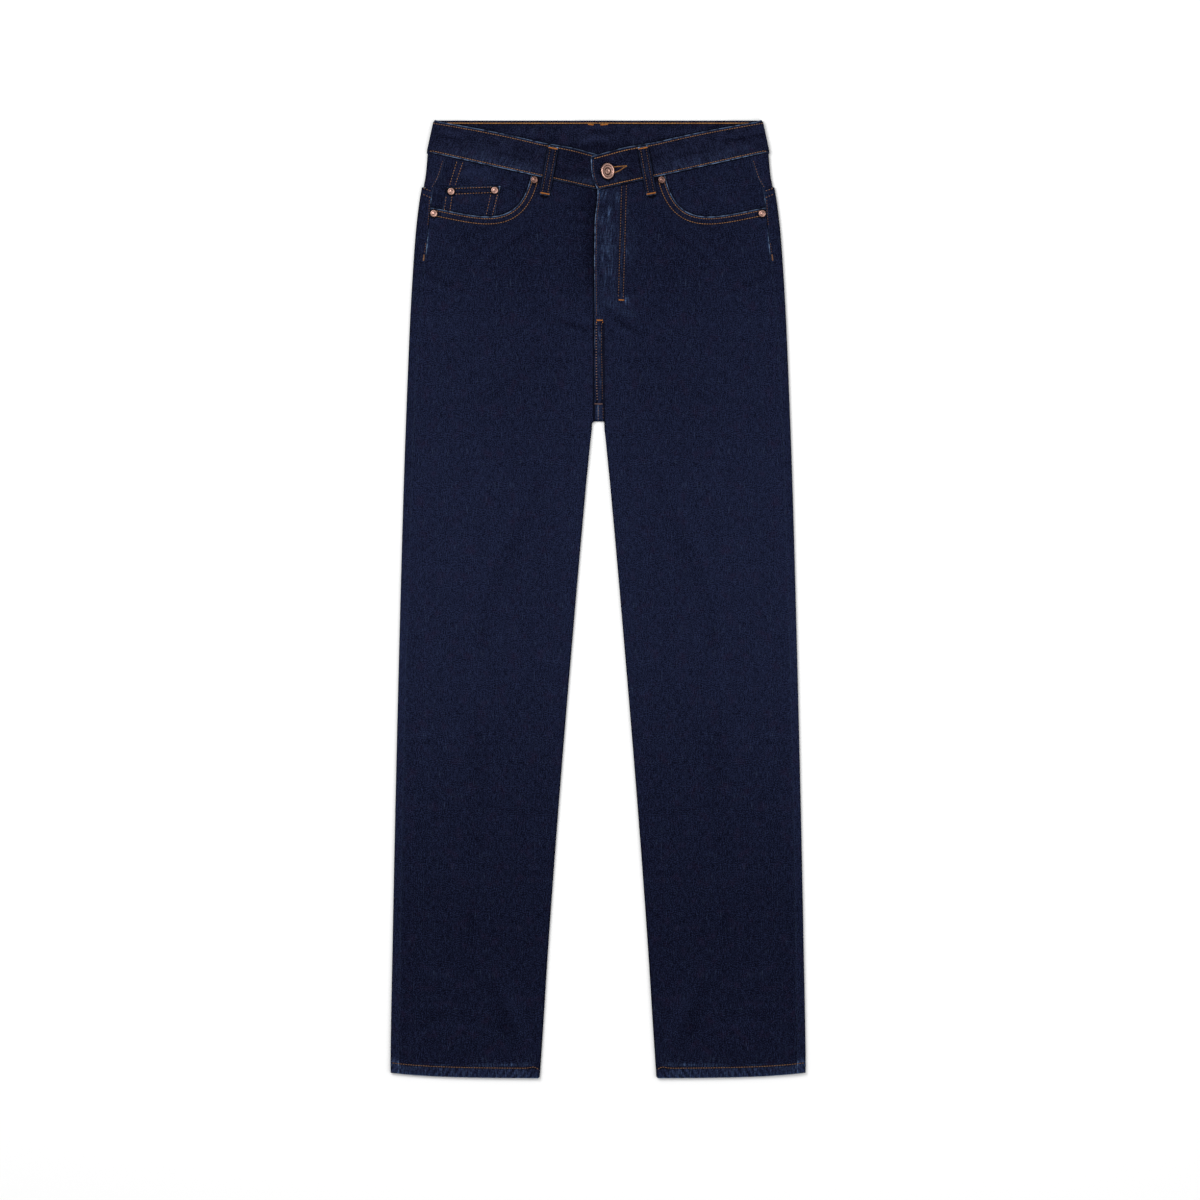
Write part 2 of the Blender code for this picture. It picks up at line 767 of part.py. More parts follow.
def waistband():
    """One strip from the right end, under the left end, all the way round to the left end."""
    rows = 3
    front_x = (190, 176, 162, 148, 134, 120, 106, 94, 83, 73, 62, 51, 41, 30, 19, 8)
    under_x = (0, -9, -18, -26, -BAND_UNDERLAP)
    back_x = (186, 177, 168, 159, 150, 125, 100, 75, 48, 21, 12, 6)

    def column(side, foot, head, z):
        sign = SIDES[side]
        shares = [r / rows for r in range(rows + 1)]
        return [(sign * mix(foot[0], head[0], s), mix(foot[1], head[1], s), z) for s in shares]

    def front(side, x, tuck=0.0):
        _, low, high, z = front_station(side, x, tuck)
        return column(side, (x, low), (x, high), z)

    def back(side, x):
        z = BAND_WALL / 2 + lifted(x, HALF_LENGTH)
        return column(side, (x, back_waist_seam(x) + SEAM / 2), (x, HALF_LENGTH), z)

    under = [front("right", x, BAND_UNDERLAP_INSET) for x in reversed(under_x)]
    right = [front("right", x) for x in reversed(front_x)]
    right_fold = [column("right", *station) for station in reversed(fold_stations("right"))]
    right_back = [back("right", x) for x in back_x]
    left_back = [back("left", x) for x in reversed(back_x)]
    left_fold = [column("left", *station) for station in fold_stations("left")]
    left = [front("left", x) for x in front_x[:-1]]
    end = []
    for s in (r / rows for r in range(rows + 1)):
        x = band_end(s)
        _, low, high, z = front_station("left", max(x, 0.0))
        end.append((x, mix(low, high + WAIST_SLOPE * min(x, 0.0), s), z))
    strip = under + right + right_fold + right_back + [back("left", 0)]
    strip += left_back + left_fold + left + [end]

    made = cloth("waistband", "left", strip, denim("waistband"), BAND_WALL)
    cut = made.modifiers.new("buttonhole", "BOOLEAN")
    cut.operation = "DIFFERENCE"
    cut.solver = "EXACT"
    cut.object = buttonhole_cutter()
    return made


def buttonhole_cutter():
    """An eyelet with a slit that runs from it along the waistband."""
    eyelet = Vector((BUTTON_X - 2.0, BUTTON_Y))
    tip = Vector(BUTTONHOLE_TIP)
    along = (tip - eyelet).normalized()
    aside = Vector((-along.y, along.x)) * BUTTONHOLE_WIDTH / 2
    neck = math.asin(BUTTONHOLE_WIDTH / 2 / EYELET_RADIUS)
    heading = math.atan2(along.y, along.x)
    steps = 9
    outline = [tip - aside, tip + aside]
    for k in range(steps + 1):
        angle = heading + mix(neck, 2 * math.pi - neck, k / steps)
        outline.append(eyelet + EYELET_RADIUS * Vector((math.cos(angle), math.sin(angle))))
    low, high = BAND_LEVEL + BAND_LAP - 1.35, BAND_LEVEL + BAND_LAP + 2.0
    shape = bmesh.new()
    floor = shape.faces.new([shape.verts.new((p.x * MM, p.y * MM, low * MM)) for p in outline])
    raised = bmesh.ops.extrude_face_region(shape, geom=[floor])
    moved = [item for item in raised["geom"] if isinstance(item, bmesh.types.BMVert)]
    bmesh.ops.translate(shape, vec=(0, 0, (high - low) * MM), verts=moved)
    bmesh.ops.recalc_face_normals(shape, faces=shape.faces)
    cutter = place("buttonhole_cutter", shape, denim("buttonhole_cutter"), rounded=False)
    cutter.hide_render = True
    cutter.display_type = "WIRE"
    return cutter


def front_belt_loop(side):
    """A belt loop over the waistband, tacked at its top edge and on the front below it."""
    head, foot = Vector(LOOP_TOP), Vector(LOOP_FOOT)
    across = (foot - head).normalized().orthogonal() * LOOP_WIDTH / 2
    rows, columns = 10, 3
    points = []
    for r in range(rows + 1):
        share = r / rows
        centre = foot.lerp(head, share)
        bulge = LOOP_BULGE * math.sin(math.pi * smooth(0.1, 0.95, share)) ** 2
        line = []
        for c in range(columns + 1):
            spot = centre + across * (1 - 2 * c / columns)
            z = outside(side, spot.x, spot.y) + SEAM + LOOP_WALL / 2 + bulge
            line.append((spot.x, spot.y, z))
        points.append(line)
    name = f"belt_loop_front_{side}"
    return cloth(name, side, points, denim(name, 1.05), LOOP_WALL)


def under_belt_loop(name, side, x):
    """A belt loop pressed flat under the waistband's back."""
    rows, columns = 4, 2
    points = []
    for r in range(rows + 1):
        y = mix(BACK_LOOP_FOOT, HALF_LENGTH, r / rows)
        edges = [x + LOOP_WIDTH * (c / columns - 0.5) for c in range(columns + 1)]
        points.append([(edge, y, CLOTH / 2) for edge in edges])
    return cloth(name, side, points, denim(name, 1.05))


# ---------------------------------------------------------------- metal


def rivet(name, side, place_name):
    """A rivet's cap: a low disc with a raised middle."""
    x, y = RIVET_AT[place_name]
    seat = max(outside_at(side, place_name, x + a, y + b) for a, b in RIVET_RING)
    profile = ((0, 1.6), (1.5, 1.5), (2.2, 0.9), (4.0, 0.8), (4.6, 0.3), (4.5, 0), (0, 0))
    return turned(name, profile, copper(name), (SIDES[side] * x, y, seat + SEAM))


RIVET_RING = ((0, 0), (4.6, 0), (-4.6, 0), (0, 4.6), (0, -4.6))


def outside_at(side, place_name, x, y):
    """Upper face under a rivet, of the coin pocket or of the front panel."""
    if place_name.startswith("coin"):
        return facing_level(side, x, y) + CLOTH / 2
    return top(side, x, y) + CLOTH / 2


def button():
    """A shank button: a dished cap on a post that stands on the waistband's lower end."""
    underlap = band_level("right", -BUTTON_X) + BAND_WALL / 2
    tilt = math.radians(BUTTON_TILT)
    cover = BAND_LEVEL + BAND_LAP + BAND_WALL / 2 + SEAM
    seat = underlap + SEAM + SHANK_RADIUS * math.sin(tilt)
    post = (cover + BUTTON_RADIUS * math.sin(tilt) - seat) / math.cos(tilt)
    cap = ((0, 1.6), (5.6, 1.7), (6.6, 2.3), (8.3, 2.3), (9.3, 1.5), (BUTTON_RADIUS, 0.7), (8.6, 0))
    profile = [(radius, post + height) for radius, height in cap]
    profile += [(SHANK_RADIUS, post), (SHANK_RADIUS, 0), (0, 0)]
    lean = (post + 1.0) * math.sin(tilt)
    return turned("button", profile, copper("button"), (BUTTON_X - lean, BUTTON_Y, seat), tilt)


def main():
    """Build every piece."""
    clear_scene()
    for side in SIDES:
        front_panel(side)
        back_panel(side)
        yoke(side)
        pocket_facing(side)
        back_pocket(side)
        front_belt_loop(side)
        under_belt_loop(f"belt_loop_back_{side}", side, SIDE_LOOP_X)
        rivet(f"rivet_waist_{side}", side, "waist")
        rivet(f"rivet_side_{side}", side, "side")
    coin_pocket()
    rivet("rivet_coin_outer", "right", "coin_outer")
    rivet("rivet_coin_inner", "right", "coin_inner")
    under_belt_loop("belt_loop_centre_back", "left", 0.0)
    waistband()
    button()


main()
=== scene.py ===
"""Straight leg jeans laid flat on their back: cloth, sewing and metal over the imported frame.

Sizes are in millimetres and MM turns them into metres where a mesh is made. Each side of the garment
is worked out in its own plan: x runs outwards from the centre line, y towards the waist from the
middle of the length, and z up from the floor. Right and left are the wearer's.
"""

import logging
import math
from dataclasses import dataclass, field
from enum import Enum
from typing import Callable, NamedTuple, Sequence

import bmesh
import bpy
import numpy as np
from mathutils import Matrix, Vector


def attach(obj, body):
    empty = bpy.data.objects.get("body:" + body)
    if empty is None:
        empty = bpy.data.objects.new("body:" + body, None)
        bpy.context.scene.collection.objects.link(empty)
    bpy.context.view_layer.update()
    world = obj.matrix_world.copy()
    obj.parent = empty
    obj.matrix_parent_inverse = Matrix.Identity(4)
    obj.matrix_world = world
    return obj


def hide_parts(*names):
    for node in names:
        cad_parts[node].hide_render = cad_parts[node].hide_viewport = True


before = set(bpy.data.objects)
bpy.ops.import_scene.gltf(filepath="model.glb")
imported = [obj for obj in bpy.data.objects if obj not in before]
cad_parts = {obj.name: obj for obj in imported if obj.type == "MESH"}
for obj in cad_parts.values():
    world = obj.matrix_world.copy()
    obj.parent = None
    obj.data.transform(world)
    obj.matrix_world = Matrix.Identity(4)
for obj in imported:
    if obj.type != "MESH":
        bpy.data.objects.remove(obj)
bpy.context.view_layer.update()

LOG = logging.getLogger("jeans")
MM = 0.001
FAR = 99.0
Array = np.ndarray
Face = Callable[[Array, Array], Array]
Colour = tuple[float, float, float]
Socket = bpy.types.NodeSocket
Material = bpy.types.Material
Piece = bpy.types.Object
Shape = bmesh.types.BMesh
Edge = Callable[[float], float]


class Side(Enum):
    """A side of the wearer, with the sign of its x in the world."""

    RIGHT = -1
    LEFT = 1

    @property
    def label(self) -> str:
        """The side's name in the names of pieces."""
        return self.name.lower()


# ---- curves and lines


def smooth(low: float, high: float, value: Array) -> Array:
    """Rise from 0 at low to 1 at high, level at both ends."""
    share = np.clip((np.asarray(value, float) - low) / (high - low), 0.0, 1.0)
    return share * share * (3 - 2 * share)


def mix(start: Array, end: Array, share: Array) -> Array:
    """The value at this share of the way from start to end."""
    return start + (end - start) * share


def dome(share: Array) -> Array:
    """Height of a quarter round at this share of its width, both from 0 to 1."""
    return np.sqrt(1 - (1 - np.clip(share, 0.0, 1.0)) ** 2)


def fall(low: float, high: float, value: Array) -> Array:
    """Fall from 1 at low to 0 at high, level at both ends."""
    return 1 - smooth(low, high, value)


def window(low: float, full: float, fade: float, high: float, value: Array) -> Array:
    """Rise from 0 at low to 1 at full, and fall from 1 at fade to 0 at high."""
    return smooth(low, full, value) * fall(fade, high, value)


def bell(value: Array, middle: float, width: float) -> Array:
    """A soft bump that is 1 at its middle."""
    return np.exp(-(((value - middle) / width) ** 2))


def blank(x: Array, y: Array) -> Array:
    """Zeros at points in plan."""
    return np.zeros(np.broadcast(x, y).shape)


def upper(middle: Face, wall: float) -> Face:
    """The upper face of cloth, from its middle and its thickness."""
    return lambda x, y: middle(x, y) + wall / 2


class Profile:
    """A size read along the garment's length, on a curve that never overshoots its rows."""

    def __init__(self, rows: Sequence[tuple[float, float]]) -> None:
        """Work out the slopes at rows of a height and a value, from the lowest height up."""
        self.heights = np.array([row[0] for row in rows])
        self.values = np.array([row[1] for row in rows])
        self.spans = np.diff(self.heights)
        steps = np.diff(self.values) / self.spans
        slopes = [steps[0]]
        slopes += [0.0 if p * q <= 0 else 2 * p * q / (p + q) for p, q in zip(steps, steps[1:])]
        slopes.append(steps[-1])
        self.slopes = np.array(slopes)

    def __call__(self, y: Array) -> Array:
        """The size at each height of y."""
        y = np.clip(y, self.heights[0], self.heights[-1])
        i = np.clip(np.searchsorted(self.heights, y, side="right") - 1, 0, len(self.spans) - 1)
        span = self.spans[i]
        t = (y - self.heights[i]) / span
        start = (1 + 2 * t) * (1 - t) ** 2 * self.values[i]
        start = start + t * (1 - t) ** 2 * span * self.slopes[i]
        end = t * t * (3 - 2 * t) * self.values[i + 1] + t * t * (t - 1) * span * self.slopes[i + 1]
        return start + end


class Path:
    """A line in plan, with its length measured along it."""

    def __init__(self, points: Sequence[Sequence[float]]) -> None:
        """Measure the line through corners given as (x, y)."""
        self.points = np.array(points, float)
        steps = np.diff(self.points, axis=0)
        self.lengths = np.hypot(steps[:, 0], steps[:, 1])
        self.reach = np.concatenate([[0.0], np.cumsum(self.lengths)])
        self.length = float(self.reach[-1])

    @classmethod
    def cubic(cls, corners: Sequence[Sequence[float]], count: int = 40) -> "Path":
        """A cubic curve from the first to the last of four points, pulled to the middle two."""
        t = np.linspace(0, 1, count)[:, None]
        weights = ((1 - t) ** 3, 3 * t * (1 - t) ** 2, 3 * t * t * (1 - t), t**3)
        return cls(sum(weight * np.array(corner, float) for weight, corner in zip(weights, corners)))

    @classmethod
    def through(cls, x: Array, y: Array) -> "Path":
        """A line through points given by their x and their y."""
        return cls(np.stack(np.broadcast_arrays(x, y), axis=1))

    def at(self, reach: Array) -> tuple[Array, Array]:
        """Points and unit headings at distances along the line."""
        i = np.clip(np.searchsorted(self.reach, reach, side="right") - 1, 0, len(self.lengths) - 1)
        heading = (self.points[i + 1] - self.points[i]) / self.lengths[i][:, None]
        return self.points[i] + heading * (reach - self.reach[i])[:, None], heading

    def near(self, x: Array, y: Array) -> tuple[Array, Array]:
        """How far points lie from the line, and how far along it.

        Returns:
            The distance to the nearest point, positive on the line's left, and that point's
            distance along the line.
        """
        x, y = np.broadcast_arrays(np.asarray(x, float), np.asarray(y, float))
        best = np.full(x.shape, 1e9)
        signed = np.zeros(x.shape)
        along = np.zeros(x.shape)
        for k, length in enumerate(self.lengths):
            ax, ay = self.points[k]
            ux, uy = (self.points[k + 1] - self.points[k]) / length
            t = np.clip((x - ax) * ux + (y - ay) * uy, 0, length)
            dx, dy = x - ax - t * ux, y - ay - t * uy
            gap = np.hypot(dx, dy)
            closer = gap < best
            best = np.where(closer, gap, best)
            signed = np.where(closer, np.where(ux * dy - uy * dx >= 0, gap, -gap), signed)
            along = np.where(closer, self.reach[k] + t, along)
        return signed, along

    def moved(self, distance: float) -> "Path":
        """This line moved to its left."""
        ahead = np.gradient(self.points, axis=0)
        ahead /= np.hypot(ahead[:, 0], ahead[:, 1])[:, None]
        left = np.stack([-ahead[:, 1], ahead[:, 0]], axis=1)
        return Path(self.points + left * distance)


# ---- the garment's plan


class Section(NamedTuple):
    """The garment across at one height."""

    height: float
    outer: float
    gap: float
    inset: float
    level: float
    rim: float


@dataclass(frozen=True)
class Crease:
    """A soft ridge or trough: its middle in plan, size, rise, lean from the length, and bow."""

    x: float
    y: float
    length: float
    width: float
    rise: float
    lean: float = 0.0
    bow: float = 0.0

    def height(self, x: Array, y: Array) -> Array:
        """Rise of the cloth at points in plan."""
        lean = math.radians(self.lean)
        along = (y - self.y) * math.cos(lean) + (x - self.x) * math.sin(lean)
        across = (x - self.x) * math.cos(lean) - (y - self.y) * math.sin(lean)
        share = along / (self.length / 2)
        across = across - self.bow * (1 - share**2)
        body = fall(0.35, 1.0, np.abs(share))
        foot = bell(across, 1.7 * self.width, 1.5 * self.width)
        return self.rise * body * (bell(across, 0, self.width) - 0.45 * foot)


@dataclass(frozen=True)
class Stroke:
    """A soft mark on the cloth: its line in plan, half width, tone, rise, and how faded it is. Its tone
    mostly paints the light and shade of a fold or crease, or a shadow beside a lapping edge; its fading is
    real wear.
    """

    points: tuple
    width: float
    tone: float
    rise: float
    worn: float

    def share(self, x: Array, y: Array) -> Array:
        """How strongly the mark shows at points in plan, from 0 to 1."""
        path = Path(self.points)
        away, along = path.near(x, y)
        end = np.minimum(along, path.length - along) / path.length
        return bell(away, 0, self.width) * mix(0.45, 1.0, smooth(0, 0.3, end))

    def shifted(self, across: float, up: float, strength: float) -> "Stroke":
        """A copy moved in plan, and stronger or weaker."""
        points = tuple((px + across, py + up) for px, py in self.points)
        values = (self.tone * strength, self.rise * strength, self.worn * strength)
        return Stroke(points, self.width, *values)


def strokes(*rows: tuple) -> tuple[Stroke, ...]:
    """Marks from rows of half width, tone, rise, how faded, and the points of the line."""
    return tuple(Stroke(row[4:], *row[:4]) for row in rows)


def marked(marks: Sequence[Stroke], value: str, x: Array, y: Array) -> Array:
    """The sum of one value of marks, their tone, rise or worn, at points in plan."""
    given = ((getattr(stroke, value), stroke) for stroke in marks)
    return sum((amount * stroke.share(x, y) for amount, stroke in given if amount), blank(x, y))


def raised(creases: Sequence[Crease], x: Array, y: Array) -> Array:
    """The rise of creases together at points in plan."""
    return sum((crease.height(x, y) for crease in creases), blank(x, y))


@dataclass
class Plan:
    """The laid-out garment: its outline, its seams, and the height of each layer."""

    cloth: float = 1.2
    hem_wall: float = 2.2
    band_wall: float = 2.4
    seam: float = 0.3
    join: float = 0.05
    rim_fade: float = 12.0
    half_length: float = 574.8
    hem_height: float = 12.6
    hem_rise: float = 7.0
    hem_rise_share: float = 0.28
    hem_rise_top: float = -500.0
    crotch: float = 213.6
    crotch_half: float = 7.3
    tongue: float = 20.4
    tongue_half: dict = field(default_factory=lambda: {Side.RIGHT: 4.4, Side.LEFT: 7.2})
    yoke_centre: float = 468.0
    yoke_fold: float = 494.6
    yoke_fold_x: float = 211.0
    yoke_outseam: float = 491.2
    back_waist_centre: float = 535.0
    back_waist_fold: float = 534.0
    waist_centre: float = 492.0
    waist_slope: float = 0.221
    waist_x: float = 201.7
    fly_seam: float = 4.3
    fly_seam_top: float = 0.3
    fly_end: float = 335.0
    lap: float = 0.75
    band_level: float = 5.6
    band_lap: float = 1.4
    band_corner: float = 197.6
    band_foot: float = 206.2
    pocket: tuple = ((80.0, 509.5), (95.0, 441.0), (140.0, 458.9), (200.6, 470.2))
    rivets: dict = field(default_factory=lambda: {"waist": (76.5, 503.6), "side": (197.0, 463.1)})
    coin_rivets: dict = field(default_factory=lambda: {"outer": (176.3, 489.7), "inner": (124.0, 491.0)})
    rivet_rim: float = 4.9
    opening_rows: tuple = (2.6, 8.8)
    hem_row: float = 12.0
    button: tuple = (11.4, 513.6)
    button_rim: float = 10.2
    button_squash: float = 0.82
    loop_head: tuple = (53.6, 543.6)
    loop_foot: tuple = (64.2, 485.0)
    loop_width: float = 12.2
    panels: tuple = (
        Section(-574.8, 249.1, 70, 10.2, 3.6, 3.9), Section(-560, 249.2, 69, 10.2, 3.6, 3.9),
        Section(-520, 248.8, 66.3, 10, 2.4, 4), Section(-420, 246.9, 60, 9.5, 2.4, 4),
        Section(-240, 243.2, 46.7, 9.2, 2.4, 4), Section(0, 237.3, 26.7, 9.2, 2.4, 4),
        Section(143.4, 233.2, 13.9, 9.4, 2.5, 4.1), Section(213.6, 230.7, 7.3, 9.7, 3, 4.2),
        Section(287.4, 227.8, 7.3, 10.2, 4, 4.5), Section(335.4, 225.7, 7.3, 11.2, 4.4, 4.6),
        Section(383.4, 223, 7.3, 13, 4.7, 4.7), Section(431.4, 219.7, 7.3, 14.5, 5, 4.8),
        Section(455.4, 217.4, 7.3, 14.2, 5.1, 4.8), Section(479.4, 214.3, 7.3, 14.4, 5.1, 4.8),
        Section(494.6, 211.6, 7.3, 13.5, 5.1, 4.8),
    )
    yokes: tuple = (
        Section(494.7, 209.6, 7.3, 11.5, 5.1, 4.8), Section(507, 207.3, 7.3, 15.9, 5.1, 4.8),
        Section(520, 205.9, 7.3, 18.8, 5.1, 4.8), Section(537.2, 204.6, 7.3, 22.8, 5.1, 4.8),
    )
    creases: dict = field(default_factory=dict)
    strokes: dict = field(default_factory=dict)

    def __post_init__(self) -> None:
        """Make the curves that the sizes are read from."""
        self.curves = {}
        for name in Section._fields[1:]:
            for key, table in (("panel", self.panels), ("yoke", self.yokes)):
                rows = [(row.height, getattr(row, name)) for row in table]
                self.curves[key, name] = Profile(rows)
        self.opening = Path.cubic(self.pocket, 48)

    def size(self, name: str, y: Array) -> Array:
        """A column of the sections at each height."""
        y = np.asarray(y, float)
        upper = self.curves["yoke", name](y)
        return np.where(y > self.yoke_fold, upper, self.curves["panel", name](y))

    def outer(self, y: Array) -> Array:
        """Half width to the outer fold."""
        return self.size("outer", y)

    def gap(self, y: Array) -> Array:
        """Half width of the gap between the legs."""
        return self.size("gap", y)

    def outseam(self, y: Array) -> Array:
        """The outseam on the front."""
        return self.size("outer", y) - self.size("inset", y)

    def waist_seam(self, x: Array) -> Array:
        """The lower edge of the waistband's front."""
        return self.waist_centre + self.waist_slope * np.abs(x)

    def band_top(self, x: Array) -> Array:
        """The upper edge of the waistband's front."""
        bow = np.sin(np.pi * np.clip(x / self.band_corner, 0, 1))
        return 530.1 + 0.2243 * x + 3.3 * bow + 3.7 * fall(24, 76, x)

    def fly_edge(self, y: Array) -> Array:
        """The folded edge of the left front, in the left side's own x."""
        wander = 0.35 * np.sin(y / 17.0) * smooth(340.0, 360.0, y)
        return mix(-self.fly_seam, -self.fly_seam_top, smooth(450.0, 490.0, y)) + wander

    def yoke_seam(self, x: Array) -> Array:
        """The yoke seam on the back."""
        return mix(self.yoke_centre, self.yoke_fold, np.abs(x) / self.yoke_fold_x)

    def back_waist(self, x: Array) -> Array:
        """The waist seam on the back."""
        return mix(self.back_waist_centre, self.back_waist_fold, np.abs(x) / self.waist_x)

    def waist_round(self, share: Array) -> Array:
        """The waist seam from -1 where the fold starts, by 0 where it ends, to 1 at the outseam."""
        top = self.waist_seam(self.waist_x)
        low = self.waist_x - (self.waist_x - self.outseam(top)) * np.clip(share, 0, 1)
        return np.where(share < 0, mix(top, self.back_waist_fold, -share), self.waist_seam(low))

    def yoke_round(self, share: Array) -> Array:
        """The yoke seam at the same shares."""
        return mix(self.yoke_fold, self.yoke_outseam, np.clip(share, 0, 1))

    def wall(self, y: Array) -> Array:
        """Thickness of a panel at a height before the hem's rise."""
        end = self.hem_height - self.half_length
        return mix(self.hem_wall, self.cloth, smooth(end, end + 1.0, y))

    def curl(self, y: Array) -> Array:
        """Radius of the round edge of a leg, halfway through the cloth."""
        return (self.size("rim", y) - self.wall(y) / 2) / 2

    def on_fold(self, x: Array, y: Array) -> Array:
        """How near the outer fold points lie, from 0 to 1."""
        return smooth(self.outer(y) - 5.0, self.outer(y) - 3.0, x)

    def lifted(self, x: Array, y: Array) -> Array:
        """How far the back lies above the floor, over the pockets and loops that are under it."""
        x = np.abs(x)
        pocket = window(3, 17, 199, 213, x) * window(275, 296, 484, 505, y)
        loops = (fall(15, 27, x) + smooth(150, 168, x)) * smooth(486, 500, y)
        return (self.cloth + self.seam) * np.clip(pocket + loops, 0, 1)

    def base(self, x: Array, y: Array) -> Array:
        """Middle of the back cloth."""
        return self.wall(y) / 2 + self.lifted(x, y)

    def from_gap(self, x: Array, y: Array, top: float, half: float) -> Array:
        """Distance in plan to the edge of the cloth round the gap, which ends at the height top."""
        inset = self.wall(y) / 2
        side = mix(self.gap(y), half, smooth(self.crotch - 1.5, self.crotch, y))
        beside = np.maximum(np.abs(x) - side - inset, 0)
        above = np.hypot(np.maximum(np.abs(x) - half - inset, 0), y - top - inset)
        return np.where(y < top + inset, beside, above)

    def beside_loop(self, x: Array, y: Array) -> Array:
        """Distance from the side edges of a front belt loop, outside it, for the painted shadow beside it; it
        grows faster below the loop's foot.
        """
        away, _ = Path([self.loop_foot, self.loop_head]).near(x, y)
        return np.abs(away) - self.loop_width / 2 + np.maximum(self.loop_foot[1] - y, 0) * 0.8

    def beside_metal(self, side: Side, x: Array, y: Array) -> Array:
        """Distance from the rims of the button and the rivets of a side, for the painted shadow round them.
        """
        spots = [*self.rivets.values(), *(self.coin_rivets.values() if side is Side.RIGHT else ())]
        away = [np.hypot(x - rx, y - ry) - self.rivet_rim for rx, ry in spots]
        if side is Side.LEFT:
            bx, by = self.button
            away.append(np.hypot((x - bx) / self.button_squash, y - by) - self.button_rim)
        return np.minimum.reduce(away, initial=FAR)

    def ripple(self, along: Array, away: Array, pitch: float, rise: float) -> Array:
        """Puckers of a sewn edge: short waves along it, which fade away from it."""
        drift = 1.7 * np.sin(along / 31.0) + 1.1 * np.sin(along / 12.3 + 2.0)
        size = 0.7 + 0.3 * np.sin(along / 19.0 + 1.0)
        return rise * size * np.sin(2 * np.pi * (along + drift) / pitch) * np.exp(-away / 4.0)

    def layer(self, side: Side, x: Array, y: Array) -> Array:
        """Middle of the layer above a facing, before the coin pocket lifts it."""
        level = self.size("level", y)
        curl = self.curl(y)
        fold = np.maximum(self.outer(y) - self.wall(y) / 2 - curl - np.abs(x), 0)
        inner = np.maximum(self.from_gap(x, y, self.crotch, self.crotch_half) - curl, 0)
        edge = np.exp(-fold / self.rim_fade) + np.exp(-inner / self.rim_fade)
        lap = side.value * self.lap * fall(20, 70, np.abs(x)) * smooth(290, 325, y)
        return level + (self.size("rim", y) - level) * edge + lap

    def front(self, side: Side, x: Array, y: Array) -> Array:
        """Middle of the front cloth, with its creases, its finer folds and its sewing."""
        coin = 0.0
        if side is Side.RIGHT:
            coin = 1.5 * window(80, 105, 190, 203, x) * window(405, 435, 472, 500, y)
        relief = raised(self.creases[side], x, y) + marked(self.strokes[side], "rise", x, y)
        return self.layer(side, x, y) + coin + relief + self.sewn(side, x, y)

    def face(self, side: Side) -> Face:
        """Upper face of the front cloth of one side."""
        return upper(lambda x, y: self.front(side, x, y), self.cloth)

    def sewn(self, side: Side, x: Array, y: Array) -> Array:
        """Rise of the front over seam allowances and turned edges."""
        away, along = self.opening.near(x, y)
        away = np.abs(away)
        rise = 0.45 * fall(8.0, 10.5, away) + self.ripple(along, away, 9.0, 0.16)
        rise = rise * (y > 440) * (np.abs(x) > 60)
        seam = np.maximum(self.outseam(y) - np.abs(x), 0)
        allowance = 0.30 * fall(9.0, 13.0, seam) + self.ripple(y, seam, 11.0, 0.10)
        rise = np.maximum(rise, allowance * (y < 462))
        if side is Side.LEFT:
            rise = rise + 0.45 * fall(26.5, 29.5, x) * smooth(348, 356, y)
            rise = rise + 0.8 * fall(5.6, 7.4, x) * window(225, 240, 330, 345, y)
        hem = np.abs(self.above_hem(x, y) - 6.0) * 0.8
        return rise + self.ripple(x + 0.6 * y, hem, 8.5, 0.28)

    def above_hem(self, x: Array, y: Array) -> Array:
        """Height above the hem's own edge."""
        return y + self.half_length - self.rise(x, y)

    def rise(self, x: Array, y: Array) -> Array:
        """How much higher a point near the hem lies towards the leg's outer fold."""
        across = (self.outer(y) - np.abs(x)) / (self.outer(y) - self.gap(y))
        fade = fall(self.hem_height - self.half_length, self.hem_rise_top, y)
        return self.hem_rise * np.exp(-across / self.hem_rise_share) * fade


# ---- finishes


